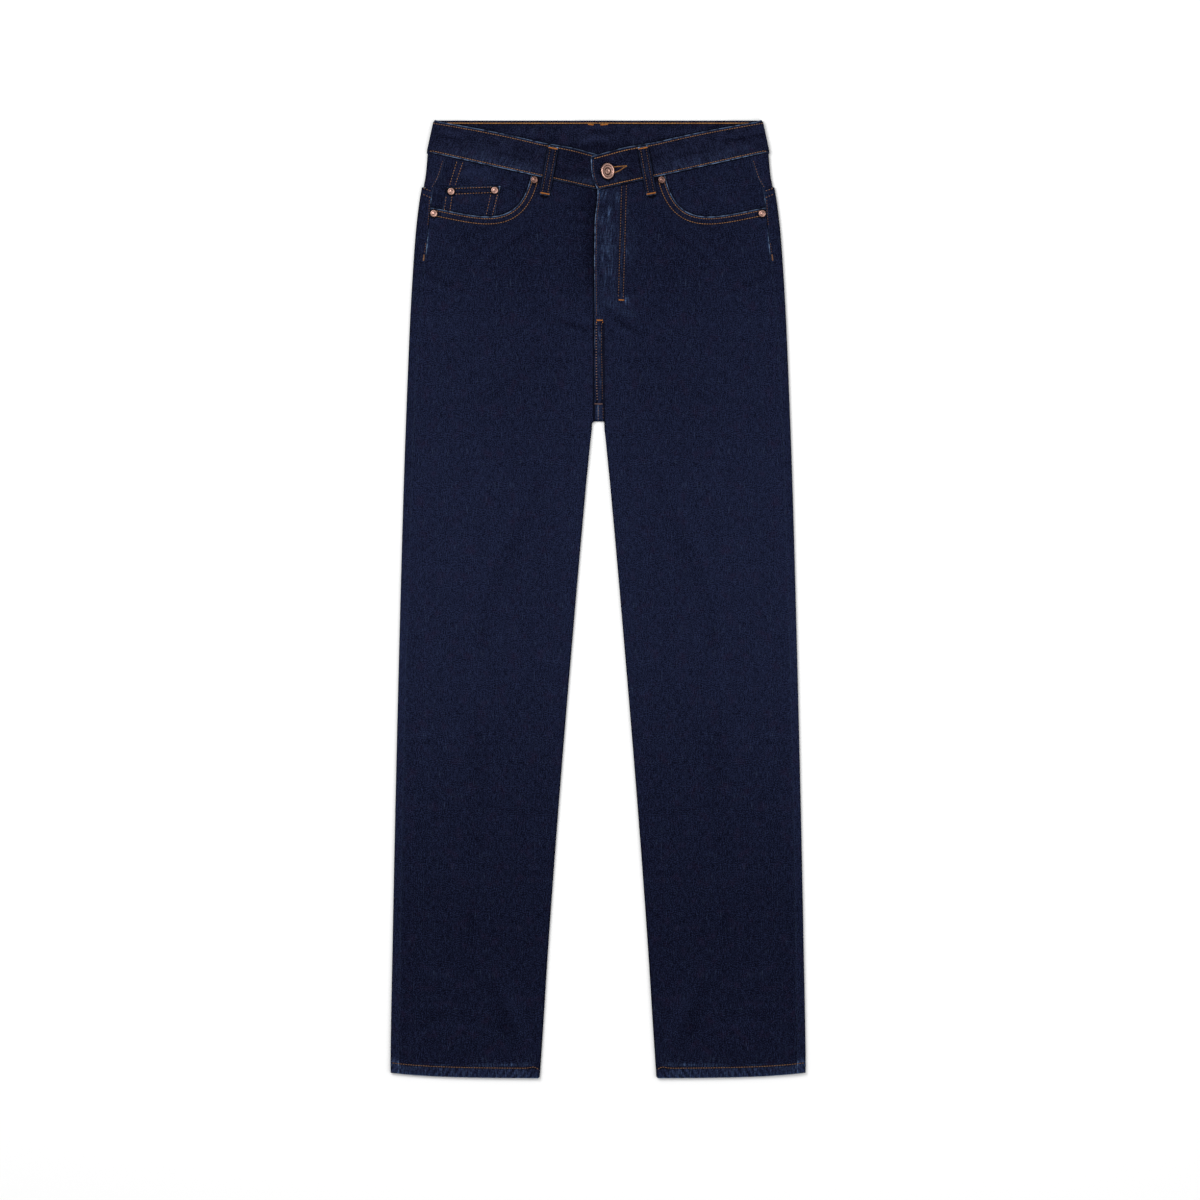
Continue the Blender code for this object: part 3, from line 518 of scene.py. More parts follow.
class Shader:
    """A Principled BSDF and short ways to wire patterns into it."""

    def __init__(self, name: str) -> None:
        """Start a material."""
        self.material = bpy.data.materials.new(name)
        self.material.use_nodes = True
        self.nodes = self.material.node_tree.nodes
        self.links = self.material.node_tree.links
        self.bsdf = self.nodes["Principled BSDF"]

    def put(self, socket: Socket, value: object) -> None:
        """Set a socket to a number, a colour or another node's output."""
        if isinstance(value, Socket):
            self.links.new(value, socket)
        elif isinstance(value, (tuple, list)) and socket.type == "RGBA":
            socket.default_value = (*value[:3], 1.0)
        else:
            socket.default_value = value

    def surface(self, **values: object) -> None:
        """Set inputs of the Principled BSDF, with an underscore for a space in their names."""
        for name, value in values.items():
            self.put(self.bsdf.inputs[name.replace("_", " ")], value)

    def node(self, kind: str, output: object, inputs: dict, **settings: object) -> Socket:
        """Add a node.

        Args:
            kind: its type, without the leading ShaderNode.
            output: name or number of the output that is wanted.
            inputs: numbers, colours or outputs by the name or number of the input.
            settings: the node's own settings.

        Returns:
            The output.
        """
        made = self.nodes.new(f"ShaderNode{kind}")
        for name, value in settings.items():
            setattr(made, name, value)
        for key, value in inputs.items():
            self.put(made.inputs[key], value)
        return made.outputs[output]

    def attribute(self, name: str) -> Socket:
        """A value that the mesh carries at its points."""
        return self.node("Attribute", "Fac", {}, attribute_name=name)

    def place(self, source: str) -> Socket:
        """The piece's cut coordinates, UV, or its object coordinates, Object."""
        return self.node("TexCoord", source, {})

    def mapped(self, vector: Socket, scale: Sequence[float], turn: float = 0.0) -> Socket:
        """Coordinates turned about Z and then scaled."""
        turned_by = (0, 0, math.radians(turn))
        return self.node("Mapping", "Vector", {"Vector": vector, "Rotation": turned_by, "Scale": scale})

    def noise(self, vector: Socket, scale: float, detail: float = 2.0, rough: float = 0.5) -> Socket:
        """Noise from about 0 to 1."""
        values = {"Vector": vector, "Scale": scale, "Detail": detail, "Roughness": rough}
        return self.node("TexNoise", "Fac", values)

    def grain(
        self, vector: Socket, across: float, along: float, detail: float = 1.0, rough: float = 0.5
    ) -> Socket:
        """Noise drawn out to one side: how many of its spots there are in a metre each way."""
        return self.noise(self.mapped(vector, (across, along, 1)), 1.0, detail, rough)

    def wave(self, vector: Socket, scale: float, bend: float) -> Socket:
        """Bands across X from 0 to 1."""
        values = {"Vector": vector, "Scale": scale, "Distortion": bend, "Detail": 1.0, "Detail Scale": 1.5}
        return self.node("TexWave", "Fac", values)

    def math(self, operation: str, *values: object) -> Socket:
        """The result of an operation on numbers or outputs."""
        return self.node("Math", 0, dict(enumerate(values)), operation=operation)

    def times(self, first: object, second: object) -> Socket:
        """A product."""
        return self.math("MULTIPLY", first, second)

    def held(self, value: object, most: float = 1.0) -> Socket:
        """A value kept between 0 and the most that it may be."""
        return self.math("MAXIMUM", self.math("MINIMUM", value, most), 0.0)

    def span(self, value: object, low: float, high: float, start: float = 0.0, end: float = 1.0) -> Socket:
        """A value mapped smoothly from one range to another."""
        values = {"Value": value, "From Min": low, "From Max": high, "To Min": start, "To Max": end}
        return self.node("MapRange", "Result", values, interpolation_type="SMOOTHSTEP")

    def blend(self, share: object, first: object, second: object) -> Socket:
        """A colour between two colours."""
        return self.node("Mix", 2, {"Factor": share, 6: first, 7: second}, data_type="RGBA")

    def bump(self, height: object, distance: float, strength: float) -> None:
        """Raise the surface by a pattern."""
        values = {"Height": height, "Distance": distance, "Strength": strength}
        self.surface(Normal=self.node("Bump", "Normal", values))


@dataclass(frozen=True)
class Denim:
    """Indigo twill: a dark warp, a paler weft that peeps through, and rubbed edges."""

    name: str
    deep: Colour = (0.0013, 0.0015, 0.0062)
    pale: Colour = (0.0162, 0.0225, 0.0590)
    warm: Colour = (0.0150, 0.0085, 0.0250)
    rubbed: Colour = (0.016, 0.044, 0.120)
    light: Colour = (0.17, 0.25, 0.40)
    faded: Colour = (0.068, 0.114, 0.230)
    shadow: Colour = (0.0010, 0.0010, 0.0026)
    ribs_per_metre: float = 700.0
    middle: float = 0.42
    shade: float = 0.0

    def pattern(self, s: Shader, cut: Socket) -> Socket:
        """How pale the yarns are at coordinates in the cut, around 0."""
        parts = (
            (s.noise(cut, 800.0, 1.0, 0.6), 2.50),
            (s.grain(cut, 900.0, 120.0), 0.95),
            (s.grain(cut, 150.0, 850.0), 0.48),
            (s.grain(cut, 210.0, 9.0, 2.0), 0.17),
            (s.noise(cut, 165.0, 1.0, 0.6), 0.13),
            (s.noise(cut, 38.0, 3.0, 0.6), 0.16),
            (s.wave(s.mapped(cut, (1, 1, 1), 28.0), self.ribs_per_metre / 3.2, 1.5), 0.10),
        )
        # The tone attribute is partly random and partly painted light and shade of folds, creases and turned
        # edges, with painted shadow beside the fly.
        total = s.times(s.attribute("tone"), 0.35)
        for value, weight in parts:
            total = s.math("ADD", total, s.math("MULTIPLY_ADD", value, weight, -weight / 2))
        return total

    def material(self) -> Material:
        """Build the material: the yarns, then what has faded, then shadows, then rubbed edges."""
        s = Shader(self.name)
        cut = s.place("UV")
        yarns = self.pattern(s, cut)
        share = s.math("ADD", yarns, self.middle + self.shade)
        colour = s.blend(s.held(share, 1.6), self.deep, self.pale)
        blush = s.span(s.noise(cut, 55.0, 2.0, 0.7), 0.52, 0.75)
        colour = s.blend(s.times(blush, 0.26), colour, self.warm)
        slub = s.span(s.grain(cut, 480.0, 70.0), 0.60, 0.88)
        colour = s.blend(s.times(slub, 0.06), colour, self.light)

        streak = s.span(s.grain(cut, 620.0, 75.0, 2.0, 0.6), 0.42, 0.70)
        cross = s.span(s.grain(cut, 120.0, 640.0, 2.0, 0.6), 0.38, 0.66, 0.45, 1.35)
        faded = s.times(s.times(streak, cross), s.attribute("worn"))
        colour = s.blend(s.math("MINIMUM", faded, 1.0), colour, self.faded)

        # Painted shade: a dark line beside each row of stitches.
        sewn = s.span(s.math("ABSOLUTE", s.attribute("sewn")), 0.5, 1.7, 0.62, 0.0)
        colour = s.blend(sewn, colour, self.shadow)
        # Painted shadow next to the edge of any piece that lies over this one.
        under = s.span(s.attribute("under"), 0.0, 2.6, 0.85, 0.0)
        colour = s.blend(under, colour, self.shadow)

        edge, rub = s.attribute("edge"), s.attribute("rub")
        broken = s.noise(cut, 150.0, 2.0, 0.6)
        soft = s.times(s.span(edge, 0.4, 5.0, 1.0, 0.0), s.span(broken, 0.30, 0.68))
        colour = s.blend(s.times(s.times(soft, rub), 0.45), colour, self.rubbed)
        line = s.times(s.span(edge, 0.35, 1.15, 1.0, 0.0), s.span(broken, 0.38, 0.63, 0.12, 1.35))
        colour = s.blend(s.times(line, rub), colour, self.light)

        s.surface(Base_Color=colour, Roughness=0.9, Specular_IOR_Level=0.03)
        s.surface(Sheen_Weight=0.005, Sheen_Roughness=0.5)
        s.bump(yarns, 0.00010, 0.7)
        return s.material


@dataclass(frozen=True)
class Thread:
    """Spun sewing thread: its colour, its darker side, and the painted shade at each end of a stitch, where
    it goes into the cloth.
    """

    name: str
    colour: Colour
    shadow: Colour
    pinch: float = 0.6
    hole: Colour = (0.012, 0.008, 0.010)
    plies_per_metre: float = 900.0

    def material(self) -> Material:
        """Build the material."""
        s = Shader(self.name)
        spot = s.place("Object")
        ply = s.wave(s.mapped(spot, (1, 1, 1), 38.0), self.plies_per_metre / 3.0, 0.6)
        share = s.math("MULTIPLY_ADD", s.noise(spot, 240.0, 2.0, 0.6), 1.5, -0.35)
        colour = s.blend(s.held(share), self.shadow, self.colour)
        # Painted shade at both ends of each stitch, where the thread goes into the cloth.
        hole = s.span(s.attribute("end"), 0.45, 0.94, 0.0, self.pinch)
        s.surface(Base_Color=s.blend(hole, colour, self.hole), Roughness=0.7, Specular_IOR_Level=0.2)
        s.bump(ply, 0.00008, 0.7)
        return s.material


class Spool(Enum):
    """The threads: colour, darker side, and the strength of the painted shade at stitch ends."""

    TAN = ((0.375, 0.192, 0.084), (0.11, 0.050, 0.028), 0.6)
    GOLD = ((0.46, 0.220, 0.060), (0.16, 0.066, 0.020), 0.3)
    TACK = ((0.58, 0.225, 0.042), (0.28, 0.092, 0.020), 0.6)
    LAP = ((0.55, 0.268, 0.096), (0.18, 0.080, 0.034), 0.6)
    AMBER = ((0.27, 0.140, 0.062), (0.10, 0.046, 0.024), 0.6)
    RUSSET = ((0.215, 0.110, 0.068), (0.060, 0.032, 0.026), 0.9)
    DIM = ((0.165, 0.086, 0.062), (0.045, 0.026, 0.024), 0.9)
    DARK = ((0.150, 0.072, 0.046), (0.055, 0.028, 0.022), 0.6)
    ROSE = ((0.215, 0.125, 0.110), (0.070, 0.044, 0.044), 0.6)


@dataclass(frozen=True)
class Copper:
    """Rose copper plating, darker where it is stamped and rubbed bright on its rim, with painted highlights
    on its raised rings and painted shade in its grooves and on its sides.
    """

    name: str
    bright: Colour
    dull: Colour

    def material(self) -> Material:
        """Build the material."""
        s = Shader(self.name)
        spot = s.place("Object")
        patina = s.noise(spot, 420.0, 4.0, 0.65)
        # The shine attribute paints highlight and shade over the patina noise.
        share = s.held(s.math("ADD", s.math("MULTIPLY_ADD", patina, 1.3, -0.65), s.attribute("shine")))
        s.surface(Base_Color=s.blend(share, self.dull, self.bright), Metallic=1.0)
        s.surface(Roughness=s.span(patina, 0.3, 0.7, 0.42, 0.28))
        s.bump(s.noise(spot, 900.0, 2.0), 0.00004, 0.6)
        return s.material


@dataclass(frozen=True)
class Paper:
    """The plain floor."""

    name: str = "floor"
    colour: Colour = (0.92, 0.92, 0.92)
    fleck: Colour = (0.88, 0.88, 0.88)

    def material(self) -> Material:
        """Build the material."""
        s = Shader(self.name)
        share = s.times(s.noise(s.place("Object"), 40.0, 3.0), 0.02)
        s.surface(Base_Color=s.blend(share, self.colour, self.fleck), Roughness=0.95)
        s.surface(Specular_IOR_Level=0.0)
        return s.material


class Wardrobe:
    """The finishes, each made once."""

    def __init__(self) -> None:
        """Make the finishes."""
        inner = -0.13
        self.body = Denim("denim").material()
        self.facing = Denim("denim_facing", shade=inner).material()
        self.patch = Denim("denim_patch", warm=(0.022, 0.010, 0.020), shade=inner).material()
        self.band = Denim("denim_band", pale=(0.0166, 0.0212, 0.0530), shade=inner).material()
        self.button_copper = Copper("copper_button", (0.82, 0.50, 0.41), (0.085, 0.045, 0.038)).material()
        self.copper = Copper("copper", (0.33, 0.195, 0.160), (0.05, 0.026, 0.022)).material()
        self.dull_copper = Copper("copper_dull", (0.155, 0.085, 0.070), (0.03, 0.018, 0.016)).material()
        self.threads = {
            spool: Thread(f"thread_{spool.name.lower()}", *spool.value).material() for spool in Spool
        }


# ---- making pieces


@dataclass
class Sheet:
    """A piece of cloth as rows of points halfway through it, with what its finish reads.

    Attributes:
        x, y, z: rows of points in a side's own plan.
        wall: thickness along each row, or one thickness.
        edge: distance of each point from the nearest rubbed edge.
        rub: how rubbed that edge is, from 0 to 1.
        tone: lighter above 0 and darker below, partly at random and partly painted light and shade of folds,
            creases and turned edges.
        worn: how faded the cloth is.
        under: distance of each point from the edge of a piece that lies over it, by which the finish paints a
            shadow.
        sewn: signed distance of each point from the nearest row of stitches, by which the finish paints a
            dark line of shade.
        round_rim: how far its cut edges are rounded.
    """

    name: str
    side: Side
    x: Array
    y: Array
    z: Array
    wall: Array | float = 1.2
    edge: Array | float = FAR
    rub: Array | float = 0.0
    tone: Array | float = 0.0
    worn: Array | float = 0.0
    under: Array | float = FAR
    sewn: Array | float = FAR
    round_rim: float = 0.35

    def points(self) -> Array:
        """Rows of points with x, y and z in the world."""
        return np.stack([self.side.value * self.x, self.y, self.z], axis=-1)

    def cut(self) -> tuple[Array, Array]:
        """Each point's place in the flat cut: distance along its row and along its column."""
        step = np.linalg.norm(np.diff(self.points(), axis=1), axis=-1)
        u = np.concatenate([np.zeros((len(step), 1)), np.cumsum(step, axis=1)], axis=1)
        middle = u.shape[1] // 2
        return u - u[:, middle : middle + 1] + self.x[:, middle : middle + 1], self.y

    def area(self) -> float:
        """Area of the middle of the cloth in square metres."""
        p = self.points() * MM
        one = np.cross(p[:-1, 1:] - p[:-1, :-1], p[1:, :-1] - p[:-1, :-1])
        two = np.cross(p[:-1, 1:] - p[1:, 1:], p[1:, :-1] - p[1:, 1:])
        return float((np.linalg.norm(one, axis=-1) + np.linalg.norm(two, axis=-1)).sum() / 2)

    def grid(self) -> Shape:
        """The sheet as a grid that is moved to its points."""
        rows, columns = self.x.shape
        shape = bmesh.new()
        bmesh.ops.create_grid(shape, x_segments=columns - 1, y_segments=rows - 1, size=0.5)
        order = sorted(shape.verts, key=lambda v: (round(v.co.y * 4096), v.co.x))
        spots = self.points().reshape(-1, 3) * MM
        for index, (vert, spot) in enumerate(zip(order, spots.tolist())):
            vert.co, vert.index = spot, index
        shape.verts.sort()
        if self.side is Side.RIGHT:
            bmesh.ops.reverse_faces(shape, faces=shape.faces)
        return shape

    def build(self, finish: Material) -> Piece:
        """Make the cloth as an object with a wall, of a material."""
        made = link(self.name, self.grid(), finish)
        mesh = made.data
        layer = mesh.uv_layers.new(name="cut")
        spots = np.stack(self.cut(), axis=-1).reshape(-1, 2) * MM
        corners = np.empty(len(mesh.loops), int)
        mesh.loops.foreach_get("vertex_index", corners)
        layer.data.foreach_set("uv", spots[corners].ravel())
        for name in ("edge", "rub", "tone", "worn", "under", "sewn"):
            carried = mesh.attributes.new(name, "FLOAT", "POINT")
            values = np.broadcast_to(getattr(self, name), self.x.shape).astype(np.float32)
            carried.data.foreach_set("value", values.ravel())
        wall = np.broadcast_to(np.asarray(self.wall, float), self.x.shape)
        thick = made.modifiers.new("wall", "SOLIDIFY")
        thick.offset = 0.0
        thick.use_quality_normals = True
        thick.thickness = float(wall.max()) * MM
        if wall.min() < wall.max() - 1e-6:
            group = made.vertex_groups.new(name="thickness")
            weights = (wall / wall.max()).ravel()
            for weight in np.unique(np.round(weights, 4)):
                chosen = np.flatnonzero(np.abs(weights - weight) < 6e-5).tolist()
                group.add(chosen, float(weight), "REPLACE")
            thick.vertex_group = group.name
        soften(made, "rim", self.round_rim, 62)
        return made


def soften(piece: Piece, name: str, width: float, angle: float) -> None:
    """Round the edges of a piece that are sharper than an angle in degrees."""
    rim = piece.modifiers.new(name, "BEVEL")
    rim.width = width * MM
    rim.segments = 2
    rim.limit_method = "ANGLE"
    rim.angle_limit = math.radians(angle)


def stand(name: str, data: bpy.types.ID, at: Sequence[float] = (0, 0, 0)) -> Piece:
    """Put an object in the scene."""
    made = bpy.data.objects.new(name, data)
    made.location = at
    bpy.context.scene.collection.objects.link(made)
    return made


def meshed(name: str, shape: Shape, finish: Material) -> bpy.types.Mesh:
    """Turn a bmesh into a mesh of one material."""
    mesh = bpy.data.meshes.new(name)
    shape.to_mesh(mesh)
    shape.free()
    mesh.materials.append(finish)
    return mesh


def link(name: str, shape: Shape, finish: Material) -> Piece:
    """Make an object of a bmesh, shaded smooth, and let it ride on the garment."""
    made = stand(name, meshed(name, shape, finish))
    made.data.shade_smooth()
    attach(made, "root")
    return made


@dataclass(frozen=True)
class Stitching:
    """One row of stitches: its pitch, and the length, width and height of a stitch."""

    pitch: float
    length: float
    width: float
    height: float
    across: bool = False
    wobble: float = 0.10


TOPSTITCH = Stitching(3.0, 2.85, 0.95, 0.6)
SPACED = Stitching(3.3, 2.5, 1.0, 0.6)
CHAIN = Stitching(3.3, 4.9, 1.40, 0.8, wobble=0.08)
FINE = Stitching(2.95, 2.3, 0.84, 0.5)
BEAD = Stitching(3.2, 2.5, 0.84, 0.5)
CROSS = Stitching(3.3, 2.3, 1.45, 0.6, across=True)
TACK = Stitching(0.62, 2.2, 0.62, 0.7, across=True, wobble=0.25)
HOLE = Stitching(0.60, 1.6, 0.60, 0.7, across=True, wobble=0.16)


@dataclass(frozen=True)
class Seam:
    """One line of stitches: its line in a side's plan, the cloth's upper face, and the stitch."""

    line: Path | tuple
    face: Face
    kind: Stitching = TOPSTITCH

    def sew(self, side: Side, shape: Shape, chance: np.random.Generator) -> int:
        """Add the stitches to a shape.

        Args:
            side: the side whose plan the line is in.
            shape: what they are added to.
            chance: gives the small differences between them.

        Returns:
            How many there are.
        """
        path = self.line if isinstance(self.line, Path) else Path(self.line)
        kind, feel = self.kind, 0.8
        number = max(int(path.length / kind.pitch), 1)
        spots, headings = path.at((np.arange(number) + 0.5) * path.length / number)
        middle = self.face(*spots.T)
        rise = self.face(*(spots + feel * headings).T) - self.face(*(spots - feel * headings).T)
        jitter = chance.normal(0.0, 1.0, (number, 3)) * kind.wobble
        lot = bmesh.new()
        for spot, heading, z, tilt, odd in zip(spots, headings, middle, rise / (2 * feel), jitter):
            turn = math.atan2(heading[1], side.value * heading[0])
            turn += math.pi / 2 if kind.across else 0.0
            lean = 0.0 if kind.across else -math.atan(float(np.clip(tilt, -0.8, 0.8)))
            at = Vector((side.value * spot[0], spot[1], z + 0.12 + 0.05 * odd[0])) * MM
            size = Vector((kind.length * (1 + 0.5 * odd[1]), kind.width, kind.height)) * MM / 2
            spin = Matrix.Rotation(turn + 0.6 * odd[2], 4, "Z") @ Matrix.Rotation(lean, 4, "Y")
            bead(lot, Matrix.Translation(at) @ spin @ Matrix.Diagonal((*size, 1.0)))
        scratch = bpy.data.meshes.new("row")
        lot.to_mesh(scratch)
        lot.free()
        shape.from_mesh(scratch)
        bpy.data.meshes.remove(scratch)
        return number


def bead(shape: Shape, place: Matrix) -> None:
    """Add one stitch, a ball of few faces that is then placed and drawn out."""
    bmesh.ops.create_uvsphere(shape, u_segments=6, v_segments=5, radius=1.0, matrix=place)


def turned(name: str, profile: Sequence[tuple], finish: Material, place: Matrix, steps: int) -> Piece:
    """Turn a piece from a profile and then place it.

    Args:
        name: name of the piece.
        profile: radius, height and shine of each corner, from the top of the axis to its foot; the shine
            paints highlight and shade on the copper.
        finish: its material.
        place: where its axis stands, in metres.
        steps: faces round it.

    Returns:
        The new object.
    """
    shape = bmesh.new()
    shine = shape.verts.layers.float.new("shine")
    ends = []
    for radius, height, bright in profile:
        ends.append(shape.verts.new((radius * MM, 0, height * MM)))
        ends[-1][shine] = bright
    edges = [shape.edges.new(pair) for pair in zip(ends, ends[1:])]
    whole = {"cent": (0, 0, 0), "axis": (0, 0, 1), "angle": 2 * math.pi}
    bmesh.ops.spin(shape, geom=ends + edges, **whole, steps=steps, use_merge=True)
    bmesh.ops.remove_doubles(shape, verts=shape.verts, dist=1e-6)
    bmesh.ops.recalc_face_normals(shape, faces=shape.faces)
    bmesh.ops.transform(shape, matrix=place, verts=shape.verts)
    made = link(name, shape, finish)
    soften(made, "soft", 0.15, 25)
    return made


# ---- panels


class Row(NamedTuple):
    """Where a row starts, at an inseam, crotch or centre edge, and where it ends."""

    x: float
    y: float
    turn: float
    outer_y: float


def between(rows: Sequence[Row], step: float) -> Array:
    """More rows in between, no further apart than a step at either end.

    Args:
        rows: the rows.
        step: the largest distance between two new rows.

    Returns:
        The new rows, with the values of Row as columns.
    """
    made = [list(rows[0])]
    for low, high in zip(rows, rows[1:]):
        reach = max(math.hypot(high.x - low.x, high.y - low.y), abs(high.outer_y - low.outer_y))
        number = max(1, math.ceil(reach / step))
        for k in range(1, number + 1):
            made.append([mix(a, b, k / number) for a, b in zip(low, high)])
    return np.array(made)


@dataclass
class Panels:
    """The fronts and backs of both legs."""

    plan: Plan
    step: float = 3.6
    back_step: float = 8.0
    curl_steps: int = 6
    front_columns: int = 78
    back_columns: int = 30
    front_top_rows: int = 24
    back_top_rows: int = 9
    waist_part: float = 0.38
    inseam: float = 0.5
    seat_seam: float = 0.15
    hem_corner: float = 1.6
    hem_row: float = 12.1

    def __post_init__(self) -> None:
        """Work out how far points lie across the round edge that rows start on."""
        self.reach = 1 - np.cos(np.linspace(0, np.pi / 2, self.curl_steps + 1))

    def leg(self, top: float) -> list[Row]:
        """Rows of a leg from the hem up to a height just below the crotch."""
        plan = self.plan
        low, hem = -plan.half_length, plan.hem_height
        heights = [low + up for up in (0, 0.8, 1.8, 3, 6, 9, 11.4, hem, hem + 1, 16, 20)]
        heights += [-540.0, -520.0, *np.linspace(-500.0, top, 12)]
        corner = [self.hem_corner * (1 - float(dome((y - low) / 3.0))) for y in heights]
        starts = [float(plan.gap(y) + plan.wall(y) / 2) for y in heights]
        return [Row(start + inset, y, 0.0, y) for start, inset, y in zip(starts, corner, heights)]

    def crotch(self, line: float, half: float, edge: Edge) -> list[Row]:
        """Rows that start along the crotch and fan out to the outer fold."""
        curl = float(self.plan.curl(line))
        line += self.plan.cloth / 2
        rows = [Row(half + self.plan.cloth / 2, line, 45.0, line + 2)]
        for up, turn, out in ((0, 60.0, 12), (curl, 18.0, 20), (14, 0.0, 28), (36, 0.0, 46)):
            rows.append(Row(edge(line), line + up, turn, line + out))
        return rows

    def fanned(self, rows: Array, ends: Array, columns: int) -> tuple[Array, Array]:
        """Points of rows in plan: across the round edge that they start on, then to their ends.

        Args:
            rows: the rows, with the values of Row as columns.
            ends: x of each row's end.
            columns: how many points a row has beyond the round edge.

        Returns:
            x and y of the points.
        """
        reach = self.plan.curl(rows[:, 1])[:, None] * self.reach
        turn = np.radians(rows[:, 2:3])
        x, y = rows[:, :1] + np.cos(turn) * reach, rows[:, 1:2] + np.sin(turn) * reach
        share = np.linspace(0, 1, columns + 1)[1:]
        x = np.concatenate([x, mix(x[:, -1:], ends[:, None], share)], axis=1)
        return x, np.concatenate([y, mix(y[:, -1:], rows[:, 3:], np.sqrt(share))], axis=1)

    def front_edge(self, side: Side) -> Edge:
        """The centre edge of a front in its own plan, as a function of height."""
        plan = self.plan
        if side is Side.LEFT:
            return lambda y: float(plan.fly_edge(y))
        under = plan.fly_end + 4.0
        return lambda y: -8.0 if y >= under else plan.fly_seam + 0.35

    def front(self, side: Side) -> Sheet:
        """A front: hem to waist seam, with the scooped pocket opening at its upper outer corner."""
        plan, edge = self.plan, self.front_edge(side)
        half, line = plan.tongue_half[side], plan.crotch + plan.tongue
        rows = self.leg(plan.crotch - 1.5)
        rows += [Row(half + plan.cloth / 2, y, 0.0, y) for y in (plan.crotch, line - 6.0)]
        rows += self.crotch(line, half, edge)
        heights = (320.0, plan.fly_end - 4, plan.fly_end + 4, 370.0, 405.0)
        rows = between(rows + [Row(edge(y), y, 0.0, y) for y in heights], self.step)
        x, y = self.fanned(rows, plan.outseam(rows[:, 3]) - plan.join, self.front_columns)
        x, y = self.upper_rows(edge, x, y)
        z = self.turned_in(plan.front(side, x, y), 1, (line, half), x, y)
        return self.dressed_front(side, x, y + plan.rise(x, y), z, plan.wall(y))

    def upper_rows(self, edge: Edge, x: Array, y: Array) -> tuple[Array, Array]:
        """Add the rows between the last level row and the waist seam and pocket opening."""
        plan, part = self.plan, self.waist_part
        start = edge(plan.waist_centre) + self.reach * float(plan.curl(plan.waist_centre))
        share = np.linspace(0, 1, self.front_columns + 1)[1:]
        waist_x = np.concatenate([start, mix(start[-1], plan.pocket[0][0], share[share <= part] / part)])
        rest = (share[share > part] - part) / (1 - part)
        spots, _ = plan.opening.at(rest * plan.opening.length)
        top_x = np.concatenate([waist_x, spots[:, 0]])
        top_y = np.concatenate([plan.waist_seam(waist_x) - plan.join, spots[:, 1]])
        t = np.linspace(0, 1, self.front_top_rows + 1)[1:, None]
        new_x, new_y = mix(x[-1:], top_x, t), mix(y[-1:], top_y, t)
        for i, reach in enumerate(self.reach):
            new_x[:, i] = [edge(h) + reach * float(plan.curl(h)) for h in new_y[:, i]]
        return np.concatenate([x, new_x]), np.concatenate([y, new_y])

    def turned_in(self, flat: Array, sign: int, ends: Sequence[float], x: Array, y: Array) -> Array:
        """Middle of a panel, which turns towards the inseam at the gap between the legs.

        Args:
            flat: its middle away from the gap.
            sign: 1 on the front and -1 on the back.
            ends: height and half width of the gap's upper end.
            x, y: points in plan.

        Returns:
            The middle at each point.
        """
        plan = self.plan
        rim = (plan.size("rim", y) + plan.wall(y) / 2 + sign * self.inseam) / 2
        return mix(rim, flat, dome(plan.from_gap(x, y, *ends) / plan.curl(y)))

    def dressed_front(self, side: Side, x: Array, y: Array, z: Array, wall: Array) -> Sheet:
        """Add to a front what its finish reads.

        Args:
            side: the side that it is on.
            x, y, z: rows of its points.
            wall: thickness at each point.

        Returns:
            The front as a sheet.
        """
        plan, marks = self.plan, Marks(self.plan, side)
        opening = np.abs(plan.opening.near(x, y)[0]) + 50 * (y < 440)
        hem = np.maximum(plan.above_hem(x, y), 0)
        edges = [(opening, 0.46)]
        edges.append((np.maximum(plan.outseam(y) - x, 0), 0.02 + 0.85 * window(414, 420, 440, 447, y)))
        # Rows of stitches, beside which the finish paints a dark line of shade.
        rows = [(opening, plan.opening_rows), (hem, (self.hem_row,))]
        # Painted shadow below the waistband, beside the belt loop, and round the rivets and the button.
        under = np.maximum(plan.waist_seam(x) - y, 0)
        under = np.minimum.reduce([under, plan.beside_loop(x, y) + 0.2, plan.beside_metal(side, x, y)])
        seat = (y < plan.fly_end) & (x < 20)
        if side is Side.LEFT:
            fly = np.maximum(x - plan.fly_edge(y), 0) + FAR * (y < 300)
            edges.append((fly, 0.10 + 0.38 * smooth(362, 392, y) + 0.75 * smooth(476, 485, y)))
            slant = x - 24.4 - (y - 369.0) * 0.0306
            rows.append((np.where(y > 366, slant + 40, FAR), (40.0, 45.7)))
            felled = np.where(seat, x + 40 - (335 - y) * 0.006, FAR)
            rows += [(felled, (37.7, 44.0)), (felled, (46.7,))]
        else:
            # Painted shadow on the right front along the left front's fly edge, which laps over it.
            cover = np.where(y > plan.crotch, x + plan.fly_edge(y), FAR)
            under = np.minimum(under, np.maximum(cover, 0) * mix(1.2, 0.62, smooth(300, 345, y)))
            rows.append((np.where(seat, x + 40, FAR), (45.3,)))
        ends = np.exp(-(plan.outer(y) - x) / 9) + np.exp(-(x - plan.gap(y)) / 9)
        edge, rub = nearest_edge([*edges, (hem, 0.16 + 0.4 * ends)])
        away = plan.from_gap(x, y, plan.crotch + plan.tongue, plan.tongue_half[side])
        # Painted shade where the front turns down at the gap between the legs.
        turned_down_shade = fall(0.1, 0.8, away / plan.curl(y)) * (y < plan.crotch + 30)
        tone = marks.tone(x, y) - 0.8 * turned_down_shade
        values = (edge, rub, tone, marks.worn(x, y), under, nearest_row(rows))
        return Sheet(f"front_{side.label}", side, x, y, z, wall, *values)

